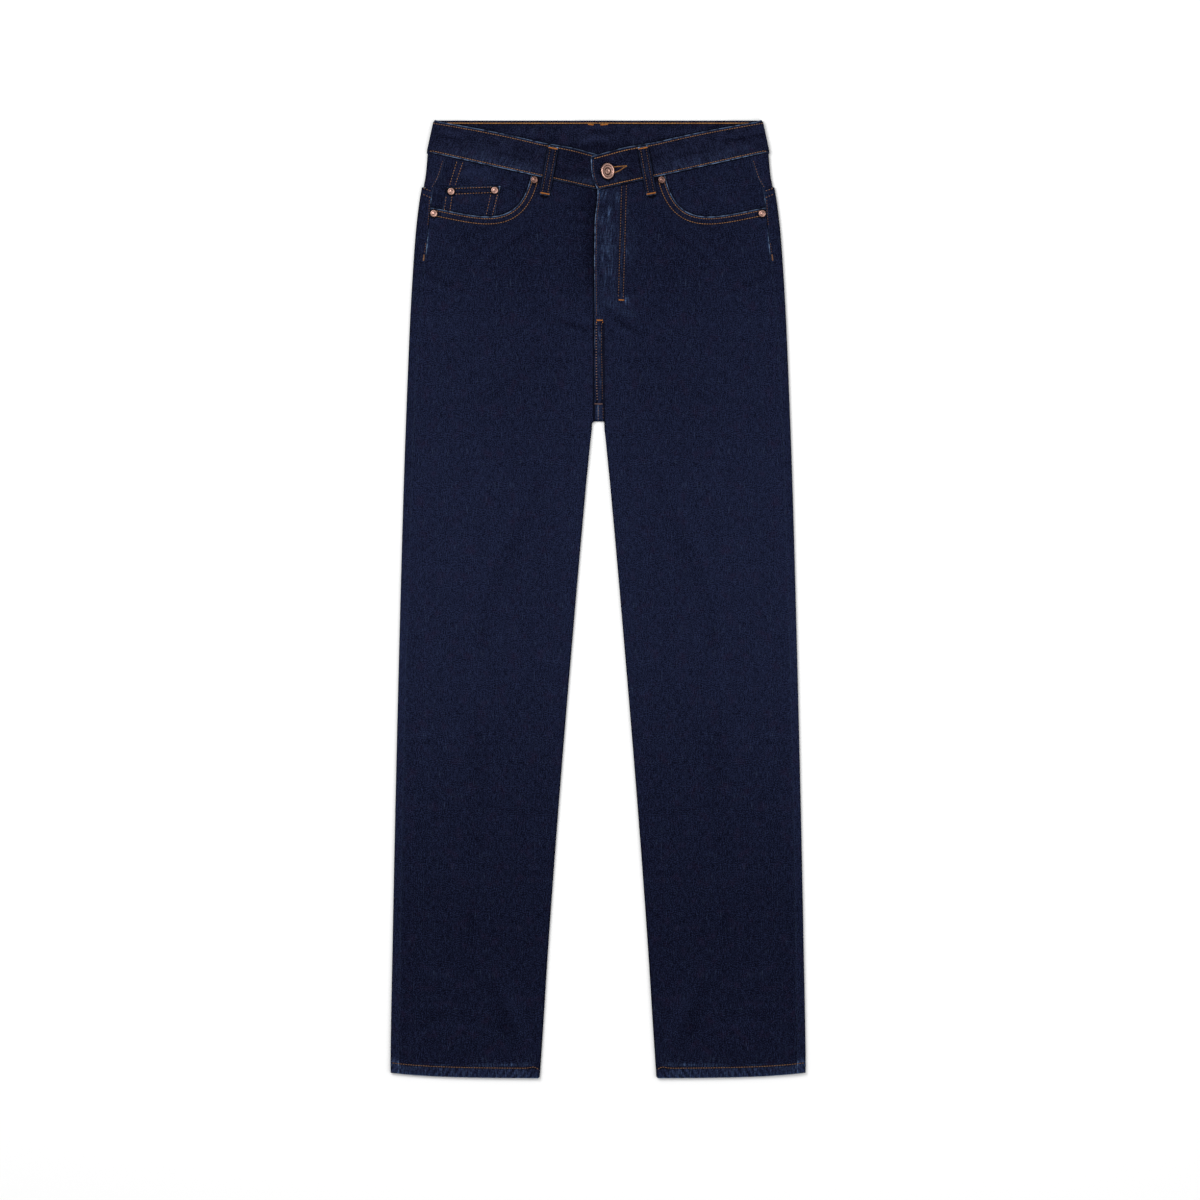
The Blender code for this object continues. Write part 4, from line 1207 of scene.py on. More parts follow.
    def back(self, side: Side) -> Sheet:
        """A back: hem to yoke seam, from the inseam and seat seam round the fold to the outseam."""
        plan, marks, seat = self.plan, Marks(self.plan, side), self.seat_seam
        heights = (275.0, 296.0, 345.0, 392.0, 440.0)
        rows = self.leg(plan.crotch - 9.0) + self.crotch(plan.crotch, plan.crotch_half, lambda y: seat)
        rows = between(rows + [Row(seat, y, 0.0, y) for y in heights], self.back_step)
        ends = rows[:, 3]
        flat_end = plan.outer(ends) - plan.wall(ends) / 2 - plan.curl(ends)
        x, y = self.fanned(rows, flat_end, self.back_columns)
        t = np.linspace(0, 1, self.back_top_rows + 1)[1:, None]
        level = mix(heights[-1], plan.yoke_fold, t)
        start, end = x[-1, self.curl_steps], plan.outer(level) - plan.cloth / 2 - plan.curl(level)
        drawn_in = (end - start) / (x[-1, -1] - start)
        new_x = np.where(x[-1:] > start, start + (x[-1:] - start) * drawn_in, x[-1:])
        y = np.concatenate([y, mix(y[-1:], plan.yoke_seam(new_x) - plan.join, t)])
        x = np.concatenate([x, new_x])
        above = np.concatenate([np.zeros(len(rows)), t[:, 0]])
        below = np.concatenate([ends, np.full(len(t), heights[-1])])
        z = self.turned_in(plan.base(x, y), -1, (plan.crotch, plan.crotch_half), x, y)
        x, y, z = folded(
            plan, side, (x, y, z), lambda at: mix(below, plan.yoke_round(at) - plan.join, above)
        )
        edge = np.maximum(x - plan.outseam(y), 0) + 60 * (z < 2.5)
        rub = 0.02 + 0.4 * smooth(474, 480, y) + 0.25 * fall(-562, -556, y)
        # Painted shade on the side of the outer fold, where the cloth faces sideways.
        share = (z - 0.6) / (plan.size("level", y) - 0.6)
        tone = marks.tone(x, y) - 0.9 * bell(share, 0.62, 0.26) * plan.on_fold(x, y)
        tone = tone + 0.34 * fall(-60, 120, y) * (z > 2.5)
        # Painted shade beside the hem row.
        sewn = nearest_row([(np.maximum(y + plan.half_length, 0), (self.hem_row,))])
        values = (plan.wall(y), edge, rub, tone, marks.worn(x, y), FAR, sewn)
        return Sheet(f"back_{side.label}", side, x, y + plan.rise(x, y), z, *values)

    def tongue(self, side: Side) -> Sheet:
        """The back's turned-up end at the crotch, which shows between the two fronts."""
        plan, bend, level_rows = self.plan, 2.0, 14
        line = plan.crotch + plan.cloth / 2
        arc = np.linspace(0, np.pi / 2, 7)[1:]
        level = np.linspace(line + 22, line + bend, level_rows)
        rows = np.concatenate([level, line + bend * (1 - np.sin(arc))])[::-1, None]
        drop = np.concatenate([0 * level, bend * 0.8 * (1 - np.cos(arc))])[::-1, None]
        across = np.linspace(0.2, 9.0 if side is Side.LEFT else 8.0, 9)
        x = across * (0.8 + 0.2 * dome((rows - line) / 3.5))
        y = rows + 0 * x
        # Painted shadow along the edges of the fronts that lie over it.
        under = np.maximum(plan.tongue_half[side] - x, 0) * 1.2
        values = (plan.cloth, x, 0.25, -0.05, 0.25 * bell(x, 0, 3.5), under)
        return Sheet(f"crotch_{side.label}", side, x, y, self.tongue_middle(x, y) - drop, *values)

    def tongue_middle(self, x: Array, y: Array) -> Array:
        """Middle of the turned-up end at the crotch, before its bend."""
        plan = self.plan
        top = float(plan.size("rim", plan.crotch + plan.cloth / 2)) - 0.95
        return top - 0.15 * (np.asarray(x) / 9) ** 2 + 0 * y


def folded(
    plan: Plan, side: Side, flat: Sequence[Array], height: Callable[[Array], Array], steps: int = 5
) -> tuple[Array, ...]:
    """Carry rows of points of a back piece on round the outer fold and onto the front.

    Args:
        plan: the garment's plan.
        side: the side that the piece is on.
        flat: x, y and z of the flat part.
        height: each row's height at a share from -1 where the fold starts, by 0, to 1.
        steps: points of a row on the front.

    Returns:
        x, y and z of the points.
    """
    level = height(np.array(0.0))
    outer, curl = plan.outer(level) - plan.wall(level) / 2, plan.curl(level)
    x_low = outer - curl
    low, high = plan.base(x_low, level), plan.front(side, x_low, level)
    columns = []
    for angle in np.linspace(-90, 90, 10)[1:]:
        turn = math.radians(angle)
        x = outer - curl * (1 - math.cos(turn))
        z = (low + high) / 2 + (high - low) / 2 * math.sin(turn)
        columns.append((x, height(np.array(angle / 180 - 0.5)) + 0 * x, z))
    for share in np.linspace(0, 1, steps + 1)[1:]:
        y = height(np.array(share)) + 0 * x_low
        x = mix(x_low, plan.outseam(y) + plan.join, share)
        columns.append((x, y, plan.front(side, x, y)))
    new = (np.stack(column, axis=1) for column in zip(*columns))
    return tuple(np.concatenate(pair, axis=1) for pair in zip(flat, new))


def mottled(x: Array, y: Array) -> Array:
    """Soft blotches about a finger wide, from -1 to 1."""
    return np.sin(x / 5.1 + 1.9 * np.sin(y / 6.3)) * np.sin(y / 3.9 + 1.4 * np.sin(x / 9.1))


def nearest_edge(edges: Sequence[tuple[Array, Array]]) -> tuple[Array, Array]:
    """Distance to the nearest of edges, and how rubbed it is, from the same of each edge."""
    edge, rub = edges[0]
    for away, amount in edges[1:]:
        closer = away < edge
        edge, rub = np.where(closer, away, edge), np.where(closer, amount, rub)
    return edge, rub


def nearest_row(edges: Sequence[tuple[Array, Sequence[float]]]) -> Array:
    """Signed distance to the nearest row of stitches.

    Args:
        edges: distances from an edge, each with the distances of its rows from that edge.

    Returns:
        The distance, which changes sign across a row.
    """
    best = np.full(np.shape(edges[0][0]), FAR)
    for away, rows in edges:
        found = away - rows[0]
        if len(rows) > 1:
            found = np.where(away < sum(rows) / 2, found, rows[1] - away)
        best = np.where(np.abs(found) < np.abs(best), found, best)
    return best


@dataclass
class Marks:
    """Lighter, darker and faded areas of the cloth of one side: real tone and fading, together with painted
    light and shade of folds and creases and painted shadow beside the fly.
    """

    plan: Plan
    side: Side
    rows: tuple = (
        *((-575, -0.7), (-420, -0.68), (-240, -0.4), (-60, -0.05), (120, 0)),
        *((230, -0.12), (340, -0.2), (400, -0.36), (500, -0.36)),
    )

    def roping(self, x: Array, y: Array, hem: Array) -> Array:
        """The slanting waves of a hem, from -1 to 1, at points and their heights above it."""
        size = 0.6 + 0.4 * np.sin(x / 13.0)
        return size * np.sin(2 * np.pi * (x + 0.8 * y + 1.5 * np.sin(x / 29.0)) / 8.5) * (hem < 11.5)

    def tone(self, x: Array, y: Array) -> Array:
        """How much lighter the cloth is at points in plan, its painted light and shade included."""
        hem = self.plan.above_hem(x, y)
        tone = Profile(self.rows)(y) - 0.12 * bell(x, 85, 60) * smooth(-420, -100, y)
        tone = tone + fall(10.5, 13.0, hem) * (0.36 + 1.50 * self.roping(x, y, hem))
        # Painted shade on the right front beside the fly, where the left front laps over it.
        if self.side is Side.RIGHT:
            tone = tone - 0.40 * fall(4, 42, x) * smooth(330, 400, y)
        return tone + marked(self.plan.strokes[self.side], "tone", x, y)

    def worn(self, x: Array, y: Array) -> Array:
        """How faded the cloth is at points in plan."""
        hem = self.plan.above_hem(x, y)
        worn = (0.20 + 0.22 * np.maximum(self.roping(x, y, hem), 0)) * fall(10.5, 13.0, hem)
        if self.side is Side.LEFT:
            below = np.maximum(372 - y, 0)
            worn = worn + 0.07 * fall(22, 29, x + 0.12 * below) * smooth(346, 362, y)
        return worn + marked(self.plan.strokes[self.side], "worn", x, y)


# ---- yoke, pockets


@dataclass
class Yoke:
    """A yoke: between the back and the waistband, from the centre round to the outseam."""

    plan: Plan
    side: Side
    rows: int = 12
    columns: int = 34
    return_steps: int = 8

    def sheet(self) -> Sheet:
        """The yoke as a sheet."""
        plan, share = self.plan, np.linspace(0, 1, self.rows + 1)
        level = mix(plan.yoke_fold, float(plan.waist_seam(plan.waist_x)), share)
        flat_end = plan.outer(level + 0.1) - plan.cloth / 2 - plan.curl(level)
        x = mix(0.15, flat_end[:, None], np.linspace(0, 1, self.columns + 1))
        y = mix(plan.yoke_seam(x) + plan.join, plan.back_waist(x) - plan.join, share[:, None])
        x, y, z = folded(
            plan,
            self.side,
            (x, y, plan.base(x, y)),
            lambda at: mix(plan.yoke_round(at) + plan.join, plan.waist_round(at) - plan.join, share),
            self.return_steps,
        )
        seam = np.abs(x - plan.outseam(y)) + 60 * (z < 3)
        rub = 0.01 + 0.08 * window(496, 500, 504, 508, y)
        # Painted shade on the side of the outer fold, and painted shadow below the waistband's front.
        tone = -0.22 - 0.9 * plan.on_fold(x, y) * bell(z, 3.3, 1.3)
        under = np.where(z > 3, np.maximum(plan.waist_seam(x) - y, 0), FAR)
        values = (plan.cloth, seam, rub, tone, 0.0, under)
        return Sheet(f"yoke_{self.side.label}_cloth", self.side, x, y, z, *values)


@dataclass
class Pocket:
    """A hand pocket's facing, and on the wearer's right the coin pocket on it."""

    plan: Plan
    side: Side
    foot: tuple = ((66.0, 494.0), (72.0, 435.0), (115.0, 436.0), (203.4, 452.0))
    coin_top: tuple = ((117.1, 496.2), (181.3, 495.0))
    coin_foot: tuple = ((125.5, 450.5), (188.5, 459.0))

    def layer(self, x: Array, y: Array) -> Array:
        """Middle of the facing."""
        plan = self.plan
        rise = 0.9 * fall(0, 14, plan.outseam(y) - x) * smooth(470, 488, y)
        sag = 0.25 * np.sin(x / 17.0 + 1.0) * np.sin(y / 11.0)
        return plan.layer(self.side, x, y) - plan.cloth - plan.seam + rise + 0.35 * sag

    def facing(self) -> Sheet:
        """The cloth that shows in the opening."""
        plan, low, across = self.plan, Path.cubic(self.foot), np.linspace(0, 1, 45)
        up = np.linspace(0, 1, 31)[:, None]
        spots, _ = low.at(across * low.length)
        end = float(plan.outseam(plan.waist_seam(plan.waist_x) - 4.5)) - plan.join
        top = mix(self.foot[0][0], end, across)
        x = mix(spots[:, 0], top, up)
        y = mix(spots[:, 1], plan.waist_seam(top) - plan.join, up)
        x[:, -1] = plan.outseam(y[:, -1]) - plan.join
        opening = np.abs(plan.opening.near(x, y)[0])
        z = self.layer(x, y) - 0.35 * fall(0, 5, opening)
        tone = 0.10 * mottled(x, y)
        # Painted shadow under the edge of the pocket opening and below the waistband.
        under = np.minimum(opening * 0.8, np.maximum(plan.waist_seam(x) - y, 0))
        if self.side is Side.RIGHT:
            tone = 3 * tone - 0.12 + 0.65 * bell(x, 145, 26) * bell(y, 511, 11)
            coin, _ = Path((self.coin_foot[0], *self.coin_top, self.coin_foot[1])).near(x, y)
            # Painted shadow along the coin pocket's edges and round its rivets.
            under = np.minimum.reduce([under, np.abs(coin) + 0.5, plan.beside_metal(self.side, x, y)])
        values = (plan.cloth, plan.outseam(y) - x, 0.04, tone, 0.0, under)
        return Sheet(f"facing_{self.side.label}", self.side, x, y, z, *values)

    def coin_layer(self, x: Array, y: Array) -> Array:
        """Middle of the coin pocket, whose upper edge is turned in."""
        plan = self.plan
        top = mix(self.coin_top[0][1], self.coin_top[1][1], (x - 117.1) / 64.2)
        hem = 0.30 * fall(8.5, 10.5, top - y)
        return plan.layer(self.side, x, y) + hem - 0.10 + plan.ripple(x, top - y, 8.0, 0.10)

    def coin(self) -> Sheet:
        """The coin pocket."""
        across, up = np.linspace(0, 1, 27), np.linspace(0, 1, 21)[:, None]
        foot, head = (mix(*np.array(ends)[:, :, None], across) for ends in (self.coin_foot, self.coin_top))
        x, y = mix(foot[0], head[0], up), mix(foot[1], head[1], up)
        top = (1 - up) * 45 + 0 * across
        sides = np.minimum(across, 1 - across) * 64 + 0 * up
        corner = np.hypot(x - self.coin_top[0][0], y - self.coin_top[0][1])
        rub = 0.10 + 0.9 * bell(corner, 0, 3.0)
        # Painted shadow under the opening's edge and round the rivets, and painted shade beside the rows.
        opening = np.abs(self.plan.opening.near(x, y)[0]) * 0.8
        under = np.minimum(opening, self.plan.beside_metal(self.side, x, y))
        sewn = nearest_row([(top, (2.5, 8.6))])
        values = (self.plan.cloth, np.minimum(top, sides), rub, 0.05, 0.0, under, sewn)
        return Sheet("coin", self.side, x, y, self.coin_layer(x, y), *values)


@dataclass
class BackPocket:
    """A patch pocket with a pointed foot, flat on the floor under the back."""

    plan: Plan
    side: Side
    centre: float = 108.0
    half_top: float = 75.0
    half_foot: float = 63.0
    top: float = 451.0
    corner: float = 324.0
    point: float = 302.0

    def sheet(self) -> Sheet:
        """The pocket as a sheet."""
        plan, across, up = self.plan, np.linspace(-1, 1, 25), np.linspace(0, 1, 25)[:, None]
        tilt = (plan.yoke_fold - plan.yoke_centre) / plan.yoke_fold_x
        head = self.top + tilt * across * self.half_top
        x = self.centre + across * mix(self.half_foot, self.half_top, up)
        y = mix(mix(self.point, self.corner, np.abs(across)), head, up)
        return Sheet(f"patch_{self.side.label}", self.side, x, y, plan.cloth / 2 + 0.05 + 0 * x)


# ---- waistband


@dataclass
class Waistband:
    """One strip from the right end, under the left end, all the way round to the left end."""

    plan: Plan
    rows: int = 14
    step: float = 4.0
    under: float = 34.0
    end_top: float = -8.5
    end_foot: float = 0.6
    fold_height: float = 3.4
    top_height: float = 6.6
    # On the front: the rows that fade are real wear; the other darker and lighter lines paint shade and light
    # along wrinkles.
    rubbed: tuple = strokes(
        (6.5, 0.24, 0, 0.13, (66, 514), (96, 521.5), (152, 535), (186, 541)),
        (3, 0.14, 0, 0.14, (84, 515), (150, 529.5)), (1.8, 0, 0, 0.2, (66, 508.6), (190, 536)),
        (5, 0, 0, 0.22, (4, 500), (30, 505)), (1.6, -0.4, 0, 0, (120, 540.5), (190, 556)),
        (1.5, -0.35, 0, 0, (70, 524), (130, 538.5)), (1.8, 0.32, 0, 0.05, (88, 533.5), (164, 550.5)),
        (2, -0.3, 0, 0, (62, 531), (92, 538.5)), (3, 0.35, 0, 0, (142, 553), (196, 562)),
        (2.4, -0.45, 0, 0, (150, 549), (198, 557)),
    )
    # Inside the back: painted light and shade of the creases.
    inside: tuple = strokes(
        (4, -0.6, 0, 0, (-34, 540), (0, 545), (32, 541)),
        (5, 0.34, 0, 0, (-40, 558), (0, 562), (42, 559)), (3, 0.5, 0, 0, (-14, 551), (14, 552)),
        (2.2, 0.9, 0, 0, (-20, 549), (0, 556), (20, 549)),
        (2, -0.8, 0, 0, (-22, 560), (0, 562), (24, 560)),
        (2, 0.8, 0, 0, (-12, 567), (0, 568.5), (14, 567)), (5, 0.34, 0, 0, (-120, 562), (-60, 558)),
        (2.2, -0.45, 0, 0, (-112, 555), (-52, 549)), (1.8, -0.35, 0, 0, (-150, 566), (-96, 563)),
        (5, 0.34, 0, 0, (60, 560), (130, 563)), (2.2, -0.45, 0, 0, (56, 550), (104, 555)),
        (1.8, -0.35, 0, 0, (92, 566), (150, 567)),
    )
    wrinkles: tuple = (
        Crease(60, 522, 90, 2.6, 0.34, -78, 1),
        Crease(120, 546, 110, 3.2, 0.4, -78, -2),
        Crease(150, 538, 80, 2.4, -0.3, -79, 1.5),
        Crease(170, 556, 60, 2.6, 0.3, -80, 1),
        Crease(95, 528, 60, 2.2, -0.25, -76, 1),
    )

    def end(self, share: Array) -> Array:
        """x of the upper end at a share of its height."""
        return mix(self.end_top, self.end_foot, (1 - share) ** 3)

    def front_middle(self, side: Side, x: Array, y: Array) -> Array:
        """Middle of the strip on the front, where the left end laps over the right one."""
        plan, left = self.plan, side is Side.LEFT
        lap = side.value * plan.band_lap * fall(40, 85, np.maximum(x, 0 if left else -FAR))
        low, high = y - plan.waist_seam(x), plan.band_top(x) - y
        rise = raised(self.wrinkles, x, y) * smooth(0, 6, low) * smooth(0, 6, high)
        tip = left * 0.6 * fall(0, 7, low) * fall(2, 22, x)
        pucker = plan.ripple(x, np.maximum(low, 0), 8.0, 0.12)
        pucker = pucker + plan.ripple(x + 40, np.maximum(high, 0), 9.0, 0.12)
        return plan.band_level + lap + rise + tip + pucker

    def face(self, side: Side) -> Face:
        """Upper face of one side of the front."""
        return upper(lambda x, y: self.front_middle(side, x, y), self.plan.band_wall)

    def sheet(self) -> Sheet:
        """The strip as a sheet in the left side's plan, so that the right side has x below 0."""
        plan, t = self.plan, np.linspace(0, 1, self.rows + 1)
        columns: list[tuple[Array, Array, Array]] = []

        def front(side: Side, x: float, tuck: float = 0.0) -> None:
            """Add a station on the front."""
            low = plan.waist_seam(x) + plan.join + tuck
            y = mix(low, plan.band_top(abs(x) if tuck else x) - tuck, t)
            columns.append((side.value * x + 0 * t, y, self.front_middle(side, x + 0 * t, y)))

        def fold(side: Side) -> None:
            """Add the stations round an outer fold."""
            low = plan.band_wall / 2 + float(plan.lifted(plan.band_foot, 537.0))
            middle, radius = (low + plan.band_level) / 2, (plan.band_level - low) / 2
            for angle in np.linspace(-90, 90, 11)[:: side.value]:
                turn = math.radians(angle)
                inset = plan.band_wall / 2 + radius * (1 - math.cos(turn))
                foot = float(plan.waist_round(np.array(angle / 180 - 0.5))) + 2 * plan.join
                x = mix(plan.band_foot, plan.band_corner, t) - inset
                x = x - 0.6 * fall(0, 0.12, t) - 1.4 * smooth(0.93, 1, t) ** 2
                y = mix(foot, plan.half_length, t)
                columns.append((side.value * x, y, middle + radius * math.sin(turn) + 0 * t))

        fronts, backs = np.arange(10.0, 193.0, self.step), np.arange(6.0, 192.0, self.step)
        for x in np.arange(self.under, -1, -self.step):
            front(Side.RIGHT, -x, 1.5)
        for x in (3.0, 6.5, *fronts):
            front(Side.RIGHT, x)
        fold(Side.RIGHT)
        for x in (*-backs[::-1], 0.0, *backs):
            y = mix(plan.back_waist(x) + plan.join, plan.half_length, t)
            columns.append((x + 0 * t, y, plan.band_wall / 2 + plan.lifted(x, 574.0) + 0 * t))
        fold(Side.LEFT)
        for x in (*fronts[::-1], 7.0, 4.0):
            front(Side.LEFT, x)
        start_x, start_y, _ = columns[-1]
        end_y = mix(plan.waist_seam(0.0) - 1.6, plan.band_top(self.end_top) - 0.4, t)
        for share in (0.35, 0.7, 0.9, 1.0):
            x, y = mix(start_x, self.end(t), share), mix(start_y, end_y, share)
            columns.append((x, y, self.front_middle(Side.LEFT, np.maximum(x, 0.0), y)))
        return self.dressed(*(np.stack(column, axis=1) for column in zip(*columns)), t)

    def dressed(self, x: Array, y: Array, z: Array, t: Array) -> Sheet:
        """Add what the finish reads.

        Args:
            x, y, z: rows of the strip's points.
            t: each row's share of the strip's height.

        Returns:
            The strip as a sheet.
        """
        plan, away = self.plan, np.abs(x)
        on_front, on_top = z > self.fold_height, z > self.top_height
        height = np.where(on_front, 38.5, 40.0)
        low, high = t[:, None] * height, (1 - t[:, None]) * height
        patch = window(60, 80, 185, 200, away)
        rub = np.where(low < high, 0.06 + 0.42 * patch, 0.26 + 0.10 * patch)
        end = np.where(on_top & (away <= 40), np.maximum(x - self.end(t)[:, None], 0), FAR)
        corners = fall(492, 497, y) + smooth(524, 529, y)
        edge, rub = nearest_edge([(np.minimum(low, high), rub), (end, 0.34 + 1.10 * corners)])
        lap = fall(30, 60, away)
        tone = np.where(on_front, -0.35 * lap, -0.12) + 0.32 * mottled(x, y)
        # The strokes' tones paint light and shade of wrinkles on the front and of creases inside the back.
        tone = tone + on_front * marked(self.rubbed, "tone", away, y)
        tone = tone + ~on_front * marked(self.inside, "tone", x, y)
        # Painted shade on the band's sides at its outer folds.
        tone = tone - 0.8 * bell(z, self.fold_height, 1.0) * (away > 190)
        worn = on_front * marked(self.rubbed, "worn", away, y)
        # Painted shadow inside the back above the front's top edge, on the front beside the loops, and round
        # the button.
        under = np.maximum(y - plan.band_top(away), 0)
        under = np.where(on_front, plan.beside_loop(away, y) * 0.75, under)
        button = np.where(on_top & (x < 60), plan.beside_metal(Side.LEFT, x, y), np.inf)
        # Painted shade beside the rows.
        front_rows = nearest_row([(low, (2.3,)), (high, (3.0,))])
        sewn = np.where(on_front, front_rows, nearest_row([(high, (3.6,))]))
        values = (plan.band_wall, edge, rub * on_front, tone, worn, np.minimum(under, button), sewn, 0.7)
        return Sheet("waistband_cloth", Side.LEFT, x, y, z, *values)


# ---- belt loops


@dataclass
class BeltLoop:
    """A belt loop over the waistband, tacked at its top edge and on the front below it."""

    plan: Plan
    band: Waistband
    side: Side
    wall: float = 1.8
    bulge: float = 1.4

    def under(self, x: Array, y: Array) -> Array:
        """Upper face of what the loop lies on."""
        panel = self.plan.face(self.side)(x, y)
        band = np.maximum(self.band.face(self.side)(x, y), panel)
        return mix(panel, band, smooth(-9, -1, y - self.plan.waist_seam(x)))

    def middle(self, x: Array, y: Array) -> Array:
        """Middle of the loop."""
        (head_x, head_y), (foot_x, foot_y) = self.plan.loop_head, self.plan.loop_foot
        share = (y - foot_y) / (head_y - foot_y)
        centre = mix(foot_x, head_x, np.clip(share, 0, 1))
        bulge = self.bulge * np.sin(np.pi * smooth(0.08, 0.96, share)) ** 2
        crown = -0.35 * ((x - centre) / (self.plan.loop_width / 2)) ** 4
        return self.under(centre, y) + self.wall / 2 + 0.15 + bulge + crown

    def frame(self) -> tuple[Array, Array, Array, Array]:
        """The loop's head and foot, and the headings along it and to its outer side."""
        head, foot = np.array(self.plan.loop_head), np.array(self.plan.loop_foot)
        along = (head - foot) / np.hypot(*(head - foot))
        return head, foot, along, np.array([along[1], -along[0]])

    def sheet(self) -> Sheet:
        """The loop as a sheet."""
        (head, foot, _, aside), half = self.frame(), self.plan.loop_width / 2
        across, up = np.linspace(-1, 1, 11) * half, np.linspace(0, 1, 37)[:, None]
        x, y = (mix(foot[k], head[k], up) + aside[k] * across for k in range(2))
        sides = half - np.abs(across) + 0 * up
        ends = np.minimum(up, 1 - up) * 60 + 0 * across
        corner = np.hypot(across + half, ends)
        rub = np.where(ends < sides, 0.25 + 0.75 * smooth(3.6, 5.2, np.abs(across)), 0.04)
        rub = np.maximum(rub, bell(corner, 0, 2.4))
        edge = np.minimum(sides, ends) - 1.3 * bell(corner, 0, 2.0)
        worn = 0.10 * np.sin(np.pi * up) ** 2
        # Painted shade beside the two rows of stitches.
        values = (self.wall, edge, rub, -0.1, worn, FAR, nearest_row([(sides, (2.8,))]))
        return Sheet(f"loop_front_{self.side.label}", self.side, x, y, self.middle(x, y), *values)


@dataclass
class UnderLoop:
    """A belt loop pressed flat under the waistband's back."""

    plan: Plan
    side: Side
    label: str
    x: float

    def sheet(self) -> Sheet:
        """The loop as a sheet."""
        across = np.linspace(-0.5, 0.5, 5) * self.plan.loop_width
        up = np.linspace(516.0, self.plan.half_length, 20)[:, None]
        x, y = self.x + across + 0 * up, up + 0 * across
        return Sheet(self.label, self.side, x, y, self.plan.cloth / 2 + 0.05 + 0 * x)


# ---- metal


@dataclass(frozen=True)
class Rivet:
    """A copper rivet cap: a low disc with a plain dome in a dished middle."""

    # The third value of each corner is its shine: painted highlight on the raised rings, painted shade in the
    # groove and on the rim's side.
    profile: tuple = (
        *((0, 1.62, 1.3), (0.8, 1.58, 1.25), (1.4, 1.42, 1.05), (2, 1.18, 0.62), (2.6, 1.14, 0.62)),
        *((3.1, 1.24, 0.95), (3.5, 1.27, 1.1), (3.9, 1.15, 0.9), (4.3, 0.8, 0.25), (4.55, 0.35, -0.2)),
        *((4.5, 0, 0), (4.2, -0.1, 0), (0, -0.1, 0)),
    )

    def build(self, name: str, at: Vector, finish: Material) -> Piece:
        """Make a rivet whose foot is at a point in metres."""
        return turned(name, self.profile, finish, Matrix.Translation(at), 32)


@dataclass(frozen=True)
class ShankButton:
    """A dished button on a post, tilted where the cloth pulls it over."""

    radius: float = 9.85
    tilt: float = 35.0
    turn: float = -1.0
    shank: float = 2.4
    # The third value of each corner is its shine: painted highlight on the raised rings, painted shade in the
    # dish and under the rim.
    cap: tuple = (
        *((0, 1.05, 0.6), (1.4, 1.05, 0.4), (2, 1.35, 0.95), (2.9, 1.4, 0.9), (3.4, 1, -0.15)),
        *((4.3, 0.9, -0.1), (5, 0.95, 0.6), (6.2, 1, 0.9), (6.8, 1.05, 0.1), (7.2, 1.65, 0.35)),
        *((7.9, 2.15, 1.3), (8.7, 2.15, 1.3), (9.4, 1.75, 0.5), (9.85, 1.1, -0.1)),
        *((9.8, 0.6, 0.05), (9, 0.2, 0), (2.4, 0, 0)),
    )

    def build(self, plan: Plan, finish: Material) -> Piece:
        """Make the button in the waistband's eyelet."""
        tilt = math.radians(self.tilt)
        underlap = plan.band_level - plan.band_lap + plan.band_wall / 2
        cover = plan.band_level + plan.band_lap + plan.band_wall / 2 + plan.seam
        seat = underlap + plan.seam + self.shank * math.sin(tilt)
        post = (cover + self.radius * math.sin(tilt) - seat) / math.cos(tilt)
        profile = [(radius, post + height, shine) for radius, height, shine in self.cap]
        profile += [(self.shank, 0.0, 0.0), (0.0, 0.0, 0.0)]
        lean = (post + 1.0) * math.sin(tilt)
        at = Vector((plan.button[0] + 0.2 - lean, plan.button[1], seat)) * MM
        turn = Matrix.Rotation(math.radians(self.turn), 4, "Z")
        place = Matrix.Translation(at) @ turn @ Matrix.Rotation(tilt, 4, "Y")
        return turned("button_cap", profile, finish, place, 64)


# ---- sewing


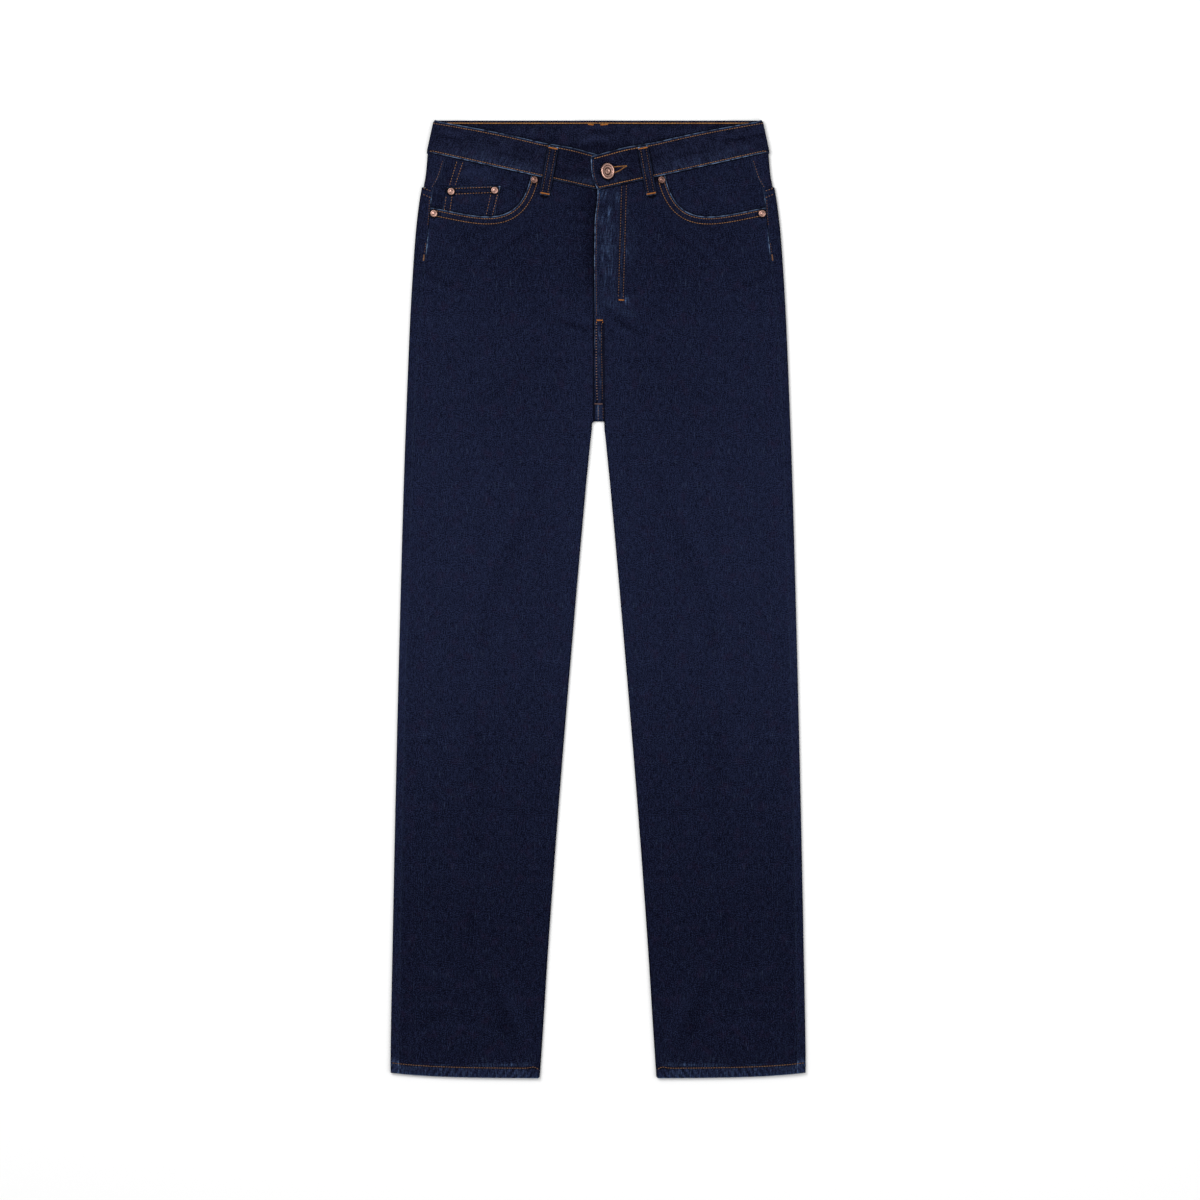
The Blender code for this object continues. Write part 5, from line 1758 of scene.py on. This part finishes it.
@dataclass
class Seamwork:
    """Every row of stitches on the parts that show."""

    plan: Plan
    finishes: Wardrobe
    panels: Panels
    band: Waistband
    pockets: dict
    loops: dict

    def sew(self, name: str, spool: Spool, seed: int, side: Side, *seams: Seam) -> None:
        """Sew seams of one thread as one piece.

        Args:
            name: name of the piece.
            spool: its thread.
            seed: seed of the small differences between stitches.
            side: the side whose plan the seams are in.
            seams: the seams.
        """
        chance = np.random.default_rng(seed)
        shape, one = bmesh.new(), bmesh.new()
        count = sum([seam.sew(side, shape, chance) for seam in seams])
        bmesh.ops.recalc_face_normals(shape, faces=shape.faces)
        made = link(name, shape, self.finishes.threads[spool])
        # Each stitch's points carry their distance from its middle, which sets the painted shade at its ends.
        bead(one, Matrix.Identity(4))
        ends = np.tile([abs(vert.co.x) for vert in one.verts], count).astype(np.float32)
        one.free()
        made.data.attributes.new("end", "FLOAT", "POINT").data.foreach_set("value", ends)
        LOG.info("%s: %d stitches", name, count)

    def waist(self, side: Side) -> None:
        """Rows along both edges of the waistband's front, and down its left end."""
        plan, face, left = self.plan, self.band.face(side), side is Side.LEFT
        x = np.linspace(-5.0 if left else 4.0, 198.0, 70)
        low = plan.waist_seam(np.maximum(x, 0)) + 2.3
        high = plan.band_top(x) - 3.0 - 0.7 * fall(24, 76, x)
        lap = x < (54.0 if left else 0.0)
        foot = Path.through(np.append(x[~lap], 202.0), np.append(low[~lap], low[-1] - 0.5))
        name = f"stitch_waist_{side.label}"
        top = Path.through(x[~lap], high[~lap])
        self.sew(name, Spool.TAN, 11 + side.value, side, Seam(top, face), Seam(foot, face))
        if left:
            rows = (Path.through(x[part], y[part]) for part, y in ((lap, high), (lap & (x > 0), low)))
            self.sew("stitch_waist_lap", Spool.LAP, 18, side, *(Seam(row, face) for row in rows))
            t = np.linspace(0.10, 0.92, 20)
            end = Path.through(self.band.end(t) + 2.7, mix(490.5, 531.0, t))
            self.sew("stitch_waist_end", Spool.DARK, 17, side, Seam(end, face, FINE))

    def inner_waist(self) -> None:
        """The chain stitch along the inside of the waistband's back, and the centre loop's tacks."""
        plan, x = self.plan, np.linspace(0.5, 181.0, 60)
        face = upper(lambda px, py: plan.band_wall / 2 + plan.lifted(px, py), plan.band_wall)
        chain = [Seam(Path.through(sign * x, 571.7), face, CHAIN) for sign in (-1, 1)]
        self.sew("stitch_waist_inside", Spool.GOLD, 21, Side.LEFT, *chain)
        lines = (((-12, 570.4), (-5.2, 569.6)), ((2.6, 569.6), (12, 570.4)))
        tacks = [Seam(line, face, TACK) for line in lines]
        self.sew("tack_waist_inside", Spool.TACK, 22, Side.LEFT, *tacks)

    def pocket(self, side: Side) -> None:
        """Two rows round a hand pocket's opening."""
        seams = []
        for away in self.plan.opening_rows:
            path = self.plan.opening.moved(-away)
            x, y = path.points.T
            inside = (y < self.plan.waist_seam(x) - 1.0) & (x < self.plan.outseam(y) - 1.0)
            seams.append(Seam(Path(path.points[inside]), self.plan.face(side)))
        self.sew(f"stitch_pocket_{side.label}", Spool.TAN, 31 + side.value, side, *seams)

    def coin(self) -> None:
        """The coin pocket's rows, and the rows above it up to the waistband."""
        pocket, cloth = self.pockets[Side.RIGHT], self.plan.cloth
        rows = (
            *(((171.7, 493.2), (127.3, 495)), ((171.7, 486.4), (127.3, 488.4))),
            *(((182.3, 484), (184.6, 466.5)), ((175.3, 484), (178, 464.5))),
            *(((128.7, 486), (134.2, 461.5)), ((120.5, 486.5), (126.9, 461))),
        )
        above = (((169.3, 526), (178.3, 497)), ((162.1, 525), (171.7, 497)))
        seams = [Seam(line, upper(pocket.coin_layer, cloth), BEAD) for line in rows]
        seams += [Seam(line, upper(pocket.layer, cloth), BEAD) for line in above]
        self.sew("stitch_coin", Spool.TAN, 41, Side.RIGHT, *seams)

    def side_seam(self, side: Side) -> None:
        """Rows at the yoke's front end and down the outseam to its tack."""
        face = self.plan.face(side)
        y = np.linspace(527.0, 494.5, 12)
        ends = (((210.3, 493.6), (200.4, 490)), ((210.6, 486.4), (200.4, 482)))
        down = (Path.through(self.plan.outseam(y) + 1.3, y),)
        low = (((202.4, 480), (203, 462), (204.4, 449)), ((206.6, 428), (208.2, 416)))
        for name, spool, seed, kind, lines in (
            ("stitch_side", Spool.TAN, 51, BEAD, ends),
            ("stitch_outseam", Spool.RUSSET, 56, BEAD, down),
            ("stitch_outseam_low", Spool.DARK, 59, FINE, low),
            ("tack_side", Spool.TAN, 61, TACK, (((208.7, 414), (209.6, 406.4)),)),
        ):
            seams = [Seam(line, face, kind) for line in lines]
            self.sew(f"{name}_{side.label}", spool, seed + side.value, side, *seams)

    def fly(self) -> None:
        """The fly's edge, its two rows and their tack, and the centre seam below."""
        face, tongue = self.plan.face(Side.LEFT), upper(self.panels.tongue_middle, self.plan.cloth)
        y = np.linspace(488.0, 340.0, 30)
        edge = Path.through(self.plan.fly_edge(y) + 2.2, y)
        rows = (((28.3, 496.5), (24.4, 363)), ((34, 497.6), (30.2, 362)))
        seat = ((-2.1, 331.8), (-2.2, 290), (-1.7, 254), (-0.9, 238.6))
        low = ((4.1, 295.8), (4.7, 276), (5.2, 239.8))
        across = (((24.6, 359.6), (31.4, 359.2)), ((-1.9, 335.2), (5.6, 335)))
        down = (((-1.9, 334.4), (-2, 330.6)), ((5.6, 334.4), (5.4, 330.6)))
        tacks = [Seam(line, face, TACK) for line in across] + [Seam(line, face, FINE) for line in down]
        crotch = (Seam(((-4.2, 234.9), (5.4, 234.6)), face, TACK), Seam(((0.2, 231.6), (0.2, 215.5)), tongue))
        for name, spool, seed, *seams in (
            ("stitch_fly_edge", Spool.DARK, 71, Seam(edge, face, FINE)),
            ("stitch_fly", Spool.RUSSET, 70, *(Seam(line, face, SPACED) for line in rows)),
            ("stitch_seat", Spool.ROSE, 73, Seam(seat, face, CROSS)),
            ("stitch_seat_edge", Spool.DIM, 74, Seam(((4.2, 331.8), (4, 297)), face, BEAD)),
            ("stitch_seat_low", Spool.DARK, 75, Seam(low, face, FINE)),
            ("tack_fly", Spool.TACK, 72, *tacks),
            ("tack_crotch", Spool.ROSE, 76, *crotch),
            ("stitch_crotch", Spool.DIM, 77, Seam(((5.7, 231), (6, 216.5)), tongue, FINE)),
        ):
            self.sew(name, spool, seed, Side.LEFT, *seams)

    def hem(self, side: Side) -> None:
        """The row round a hem's front."""
        plan, x = self.plan, np.linspace(71.5, 247.0, 60)
        level = plan.hem_row - plan.half_length
        y = level + plan.rise(x, level) + 1.6 * bell(x, 77.0, 6.0) - 2.2 * fall(70, 77, x)
        face = upper(lambda px, py: plan.front(side, px, py - plan.rise(px, level)), plan.hem_wall)
        seam = Seam(Path.through(x, y), face)
        self.sew(f"stitch_hem_{side.label}", Spool.AMBER, 81 + side.value, side, seam)

    def loop(self, side: Side) -> None:
        """Two rows down a belt loop, and a tack at each end."""
        loop, seed = self.loops[side], side.value
        face = upper(loop.middle, loop.wall)
        head, foot, along, aside = loop.frame()
        for name, spool, away in (("inner", Spool.RUSSET, -3.3), ("outer", Spool.DIM, 3.3)):
            row = Seam((foot + along * 3.5 + aside * away, head - along * 4 + aside * away), face, BEAD)
            self.sew(f"stitch_loop_{name}_{side.label}", spool, 91 + seed, side, row)
        spots = (foot + along * 2.2, head - along * 2.2)
        tacks = [Seam((spot - aside * 5.6, spot + aside * 5.6), face, TACK) for spot in spots]
        self.sew(f"tack_loop_{side.label}", Spool.TACK, 95 + seed, side, *tacks)

    def buttonhole(self) -> None:
        """The close stitches round the buttonhole."""
        above = ((16, 518.7), (26, 519.6), (34.6, 520.3))
        below = ((16, 510.6), (26, 514.6), (31, 518.2), (34.6, 519.9))
        seams = [Seam(line, self.band.face(Side.LEFT), HOLE) for line in (above, below)]
        self.sew("stitch_buttonhole", Spool.GOLD, 99, Side.LEFT, *seams)

    def sew_all(self) -> None:
        """Sew every row."""
        for part in (self.inner_waist, self.coin, self.fly, self.buttonhole):
            part()
        for side in Side:
            for part in (self.waist, self.pocket, self.side_seam, self.hem, self.loop):
                part(side)


# ---- studio


@dataclass(frozen=True)
class Studio:
    """Floor, soft light and a camera straight above."""

    frame_width: float = 1.44
    distance: float = 9.0
    centre: tuple = (0.0023, -0.0006)
    sensor: float = 36.0

    def build(self) -> None:
        """Make the studio."""
        shape, scene = bmesh.new(), bpy.context.scene
        bmesh.ops.create_grid(shape, x_segments=4, y_segments=4, size=4.0)
        stand("floor", meshed("floor", shape, Paper().material()), (0, 0, -0.0004))
        camera = bpy.data.cameras.new("camera")
        camera.sensor_width = self.sensor
        camera.lens = self.sensor * self.distance / self.frame_width
        scene.camera = stand("camera", camera, (*self.centre, self.distance + 0.005))
        self.light("key", (-1.6, 1.4, 3.2), 2.2, 104.0)
        self.light("fill", (1.8, -0.6, 3.0), 2.8, 52.0)
        scene.world = bpy.data.worlds.new("studio")
        scene.world.use_nodes = True
        sky = scene.world.node_tree.nodes["Background"].inputs
        sky["Color"].default_value = (1, 1, 1, 1)
        sky["Strength"].default_value = 0.36
        scene.view_settings.view_transform = "Standard"
        scene.view_settings.look = "None"

    def light(self, name: str, at: Sequence[float], size: float, power: float) -> None:
        """Hang a square light that faces the middle of the floor."""
        data = bpy.data.lights.new(name, "AREA")
        data.size = size
        data.energy = power
        stand(name, data, at).rotation_euler = (-Vector(at)).to_track_quat("-Z", "Y").to_euler()


# ---- assembly


def lay(
    sheet: Sheet,
    finish: Material,
    flat: tuple[float, float],
    node: str,
) -> None:
    """Build a sheet of cloth, hide the imported node that it replaces, and log its area and cut.

    Args:
        sheet: the cloth.
        finish: its material.
        flat: width and length of its cut in metres.
        node: the imported node that it replaces, which is hidden.
    """
    made = sheet.build(finish)
    area = sheet.area()
    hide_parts(node)
    LOG.info("%s: %.4f m2 of cloth, cut %.3f x %.3f m", made.name, area, *flat)


def lay_creases() -> dict:
    """The larger creases of each side, in its own plan."""
    right = (
        Crease(150, 60, 380, 30, 0.7, 8, 6),
        Crease(118, -190, 340, 28, 0.6, -12, -5),
        Crease(172, -405, 260, 26, 0.8, 15, 4),
    )
    left = (
        Crease(142, 25, 360, 30, 0.7, -6, -6),
        Crease(188, -230, 320, 26, 0.6, 10, 5),
        Crease(126, -425, 250, 26, 0.8, -14, -4),
    )
    return {Side.RIGHT: right, Side.LEFT: left}


def lay_strokes() -> dict:
    """The finer folds, with their painted light and shade, and faded places: those of both sides, a little
    uneven, and each side's own.
    """
    hems = strokes(
        (2, 0, 0, 0.9, (243, -572), (228, -571)), (2.2, 0, 0, 0.6, (243, -563), (234, -562)),
        (1.6, 0, 0, 0.45, (222, -560), (208, -559.5)),
        (1.8, 0, 0, 0.62, (154, -559.6), (115, -558.6), (79, -557.8)),
        (1.5, 0, 0, 0.35, (196, -559.4), (176, -559.6)),
    )
    # Tone and rise go together: painted light along the raised part of each fold and painted shade along its
    # trough.
    both = strokes(
        # from the fork down across the thigh to the knee
        (8.8, -0.19, -0.2, 0, (49.3, 181.8), (90.1, 96.6), (141.7, -35.4)),
        (6.2, 0.11, 0.09, 0, (66, 178), (104, 96.6), (150, 10)),
        (10, -0.22, -0.13, 0, (141.7, -33), (141, -50)),
        (3.8, 0.25, 0.13, 0, (117.7, -30.6), (117, -59.4)), (5, 0.22, 0.11, 0, (117, -2), (113, -10)),
        (6.2, 0.17, 0.11, 0, (222, 30), (198, 39), (178, 35)),
        (3.2, 0.25, 0.13, 0, (72.1, -70.2), (37.3, -76.2)), (5, 0.22, 0.09, 0, (58, -108), (57, -119)),
        (11.2, -0.18, -0.18, 0, (141.7, -132.6), (141.7, -208.2), (146.5, -270)),
        (11.2, -0.2, -0.13, 0, (147, -280), (146, -298)),
        (6.2, 0.17, 0.11, 0, (222, -166), (198.1, -156.6), (176, -163)),
        # above the hem
        (11.2, -0.22, -0.15, 0, (153.7, -375), (158.5, -412)),
        (6.2, 0.2, 0.13, 0, (224, -444), (196, -447), (169.3, -456)),
        (6.9, 0.25, 0.18, 0, (112.9, -466.2), (98, -492), (84.1, -528.6)),
        (7.5, -0.21, -0.15, 0, (128, -470), (112, -500), (103, -530)),
        (5.6, 0.23, 0.15, 0, (222, -523), (198, -513), (164.5, -511.8), (120, -520)),
        (6.2, -0.2, -0.13, 0, (214, -505), (182, -500)),
        (6.2, -0.2, -0.13, 0, (136, -505), (106, -515)),
        # hip and front of the thigh
        (4, -0.29, -0.2, 0, (123.7, 449), (150, 439), (171, 432)),
        (4.5, -0.28, -0.2, 0, (78.1, 444.6), (108, 424), (137, 397.8)),
        (3.5, 0.2, 0.14, 0, (88, 446), (118, 428), (148, 402)),
        (3.5, -0.28, -0.17, 0, (220.9, 397.8), (202, 390), (181.3, 375)),
        (3.5, 0.24, 0.14, 0, (220, 387), (200, 379), (178, 366)),
        (6, 0.15, 0.11, 0, (215, 340), (190, 326), (160, 318)),
        (7, -0.17, -0.17, 0, (60, 300), (100, 262), (150, 235)),
        (7, 0.14, 0.14, 0, (70, 330), (112, 300), (160, 285)),
    )
    # Painted shadow down beside the fly, where the left front laps over, and painted light and shade of the
    # creases across the front.
    right = strokes(
        (7, -0.45, -0.1, 0, (9, 500), (8, 460), (8, 420), (8, 370)),
        (1.8, -0.55, -0.35, 0, (43, 470.5), (6, 469)), (1.8, -0.5, -0.35, 0, (43, 455), (6, 452)),
        (1.8, -0.45, -0.35, 0, (40, 440), (6, 436)), (2.2, 0.3, 0.2, 0, (38, 463), (12, 461)),
        (2.2, 0.28, 0.2, 0, (38, 447), (12, 445)),
        (3, -0.5, -0.4, 0, (49.3, 335.4), (28, 328), (6, 323.4)),
        (3, 0.26, 0.25, 0, (50, 345), (28, 337), (8, 333)),
    )
    # Painted light and shade of the creases, and real fading along the fly.
    left = strokes(
        (3, -0.5, -0.4, 0, (14.3, 341.4), (34, 328), (53.9, 317.4)),
        (3, 0.26, 0.25, 0, (16, 331), (34, 318), (50, 309)), (1.4, 0, 0.05, 0.65, (5.3, 440), (5, 397)),
        (1.8, 0, 0.08, 0.55, (13.1, 470), (13, 391)), (2.2, 0, 0, 0.75, (13.5, 468), (13, 461)),
        (2.2, 0, 0, 0.75, (4.1, 458), (4.2, 452)), (3.5, 0, 0, 0.69, (4, 486), (10.6, 485)),
        (1.6, 0, 0, 0.95, (23, 485), (24, 477)), (1.3, 0, 0, 0.5, (9.4, 436), (9, 420)),
        (2, 0, 0, 0.56, (9.2, 446), (9.6, 441)), (2.4, 0, 0, 1.5, (33.2, 361), (35.4, 355.6)),
        (6, 0.14, 0, 0.12, (39, 446), (38, 404)), (1.8, 0, 0, 0.44, (34.4, 420), (33.6, 408)),
        (2.2, 0, 0, 0.31, (10, 400), (9.2, 376)), (2.4, 0, 0, 0.25, (34.6, 470), (35.4, 456)),
        (3, 0, 0.1, 0.2, (30, 455), (29, 400), (27.5, 362)),
        (2, 0, 0.05, 0.25, (17.5, 452), (16.8, 372)),
        (4, 0.1, 0.15, 0.25, (8.3, 358.2), (25, 351), (41.9, 341.4)),
        (4, 0, 0, 0.35, (-1, 350), (0, 339)),
        (1.8, 0.1, 0, 0.34, (1.6, 330), (1.9, 300), (3, 262), (3.4, 240)),
        (1.6, 0, 0, 0.4, (-5, 330), (-3.6, 280), (-3.4, 240)), (2, 0, 0, 0.6, (1.4, 322), (1.4, 306)),
        (1.6, -0.45, -0.15, 0, (22, 474), (4, 472)), (1.6, -0.4, -0.15, 0, (22, 462), (8, 460)),
    )
    uneven = tuple(
        stroke.shifted(2.5 * math.sin(2.3 * k), 3.5 * math.sin(1.7 * k + 1), 0.9 + 0.2 * math.sin(k))
        for k, stroke in enumerate(both)
    )
    return {Side.RIGHT: hems + both + right, Side.LEFT: hems + uneven + left}


def main() -> None:
    """Build every piece."""
    logging.basicConfig(level=logging.INFO, format="%(name)s: %(message)s")
    finishes = Wardrobe()
    plan = Plan(creases=lay_creases(), strokes=lay_strokes())
    panels, band = Panels(plan), Waistband(plan)
    pockets = {side: Pocket(plan, side) for side in Side}
    yokes = {side: Yoke(plan, side) for side in Side}
    loops = {side: BeltLoop(plan, band, side) for side in Side}
    body, loop_cut = finishes.body, (0.0125, 0.062)
    for side in Side:
        s = side.label
        lay(BackPocket(plan, side).sheet(), finishes.patch, (0.15, 0.16), f"back_pocket_{s}")
        tongue = panels.tongue(side).build(body)
        lay(panels.back(side), body, (0.27, 1.08), f"back_panel_{s}")
        lay(yokes[side].sheet(), body, (0.24, 0.07), f"yoke_{s}")
        lay(pockets[side].facing(), finishes.facing, (0.14, 0.1), f"pocket_facing_{s}")
        lay(panels.front(side), body, (0.26, 1.09), f"front_panel_{s}")
        lay(loops[side].sheet(), finishes.band, loop_cut, f"belt_loop_front_{s}")
        under = UnderLoop(plan, side, f"loop_back_{s}", 188.5).sheet()
        lay(under, finishes.band, loop_cut, f"belt_loop_back_{s}")
    lay(pockets[Side.RIGHT].coin(), finishes.patch, (0.075, 0.05), "coin_pocket")
    centre = UnderLoop(plan, Side.LEFT, "loop_centre_back", 0.0).sheet()
    lay(centre, finishes.band, loop_cut, "belt_loop_centre_back")
    lay(band.sheet(), finishes.band, (0.042, 0.9), "waistband")

    rivets = [
        (f"{name}_{side.label}", side.value * x, y, plan.face(side)(x, y) + 0.35)
        for side in Side
        for name, (x, y) in plan.rivets.items()
    ]
    coin = upper(pockets[Side.RIGHT].coin_layer, plan.cloth)
    rivets += [(f"coin_{name}", -x, y, coin(x, y) + 0.3) for name, (x, y) in plan.coin_rivets.items()]
    metal = []
    for name, *at in rivets:
        copper = finishes.dull_copper if "waist" in name else finishes.copper
        spot = Vector([float(value) * MM for value in at])
        metal.append((f"rivet_{name}", Rivet().build(f"cap_{name}", spot, copper)))
    metal.append(("button", ShankButton().build(plan, finishes.button_copper)))
    for node, made in metal:
        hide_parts(node)

    Seamwork(plan, finishes, panels, band, pockets, loops).sew_all()
    Studio().build()


if __name__ == "__main__":
    main()
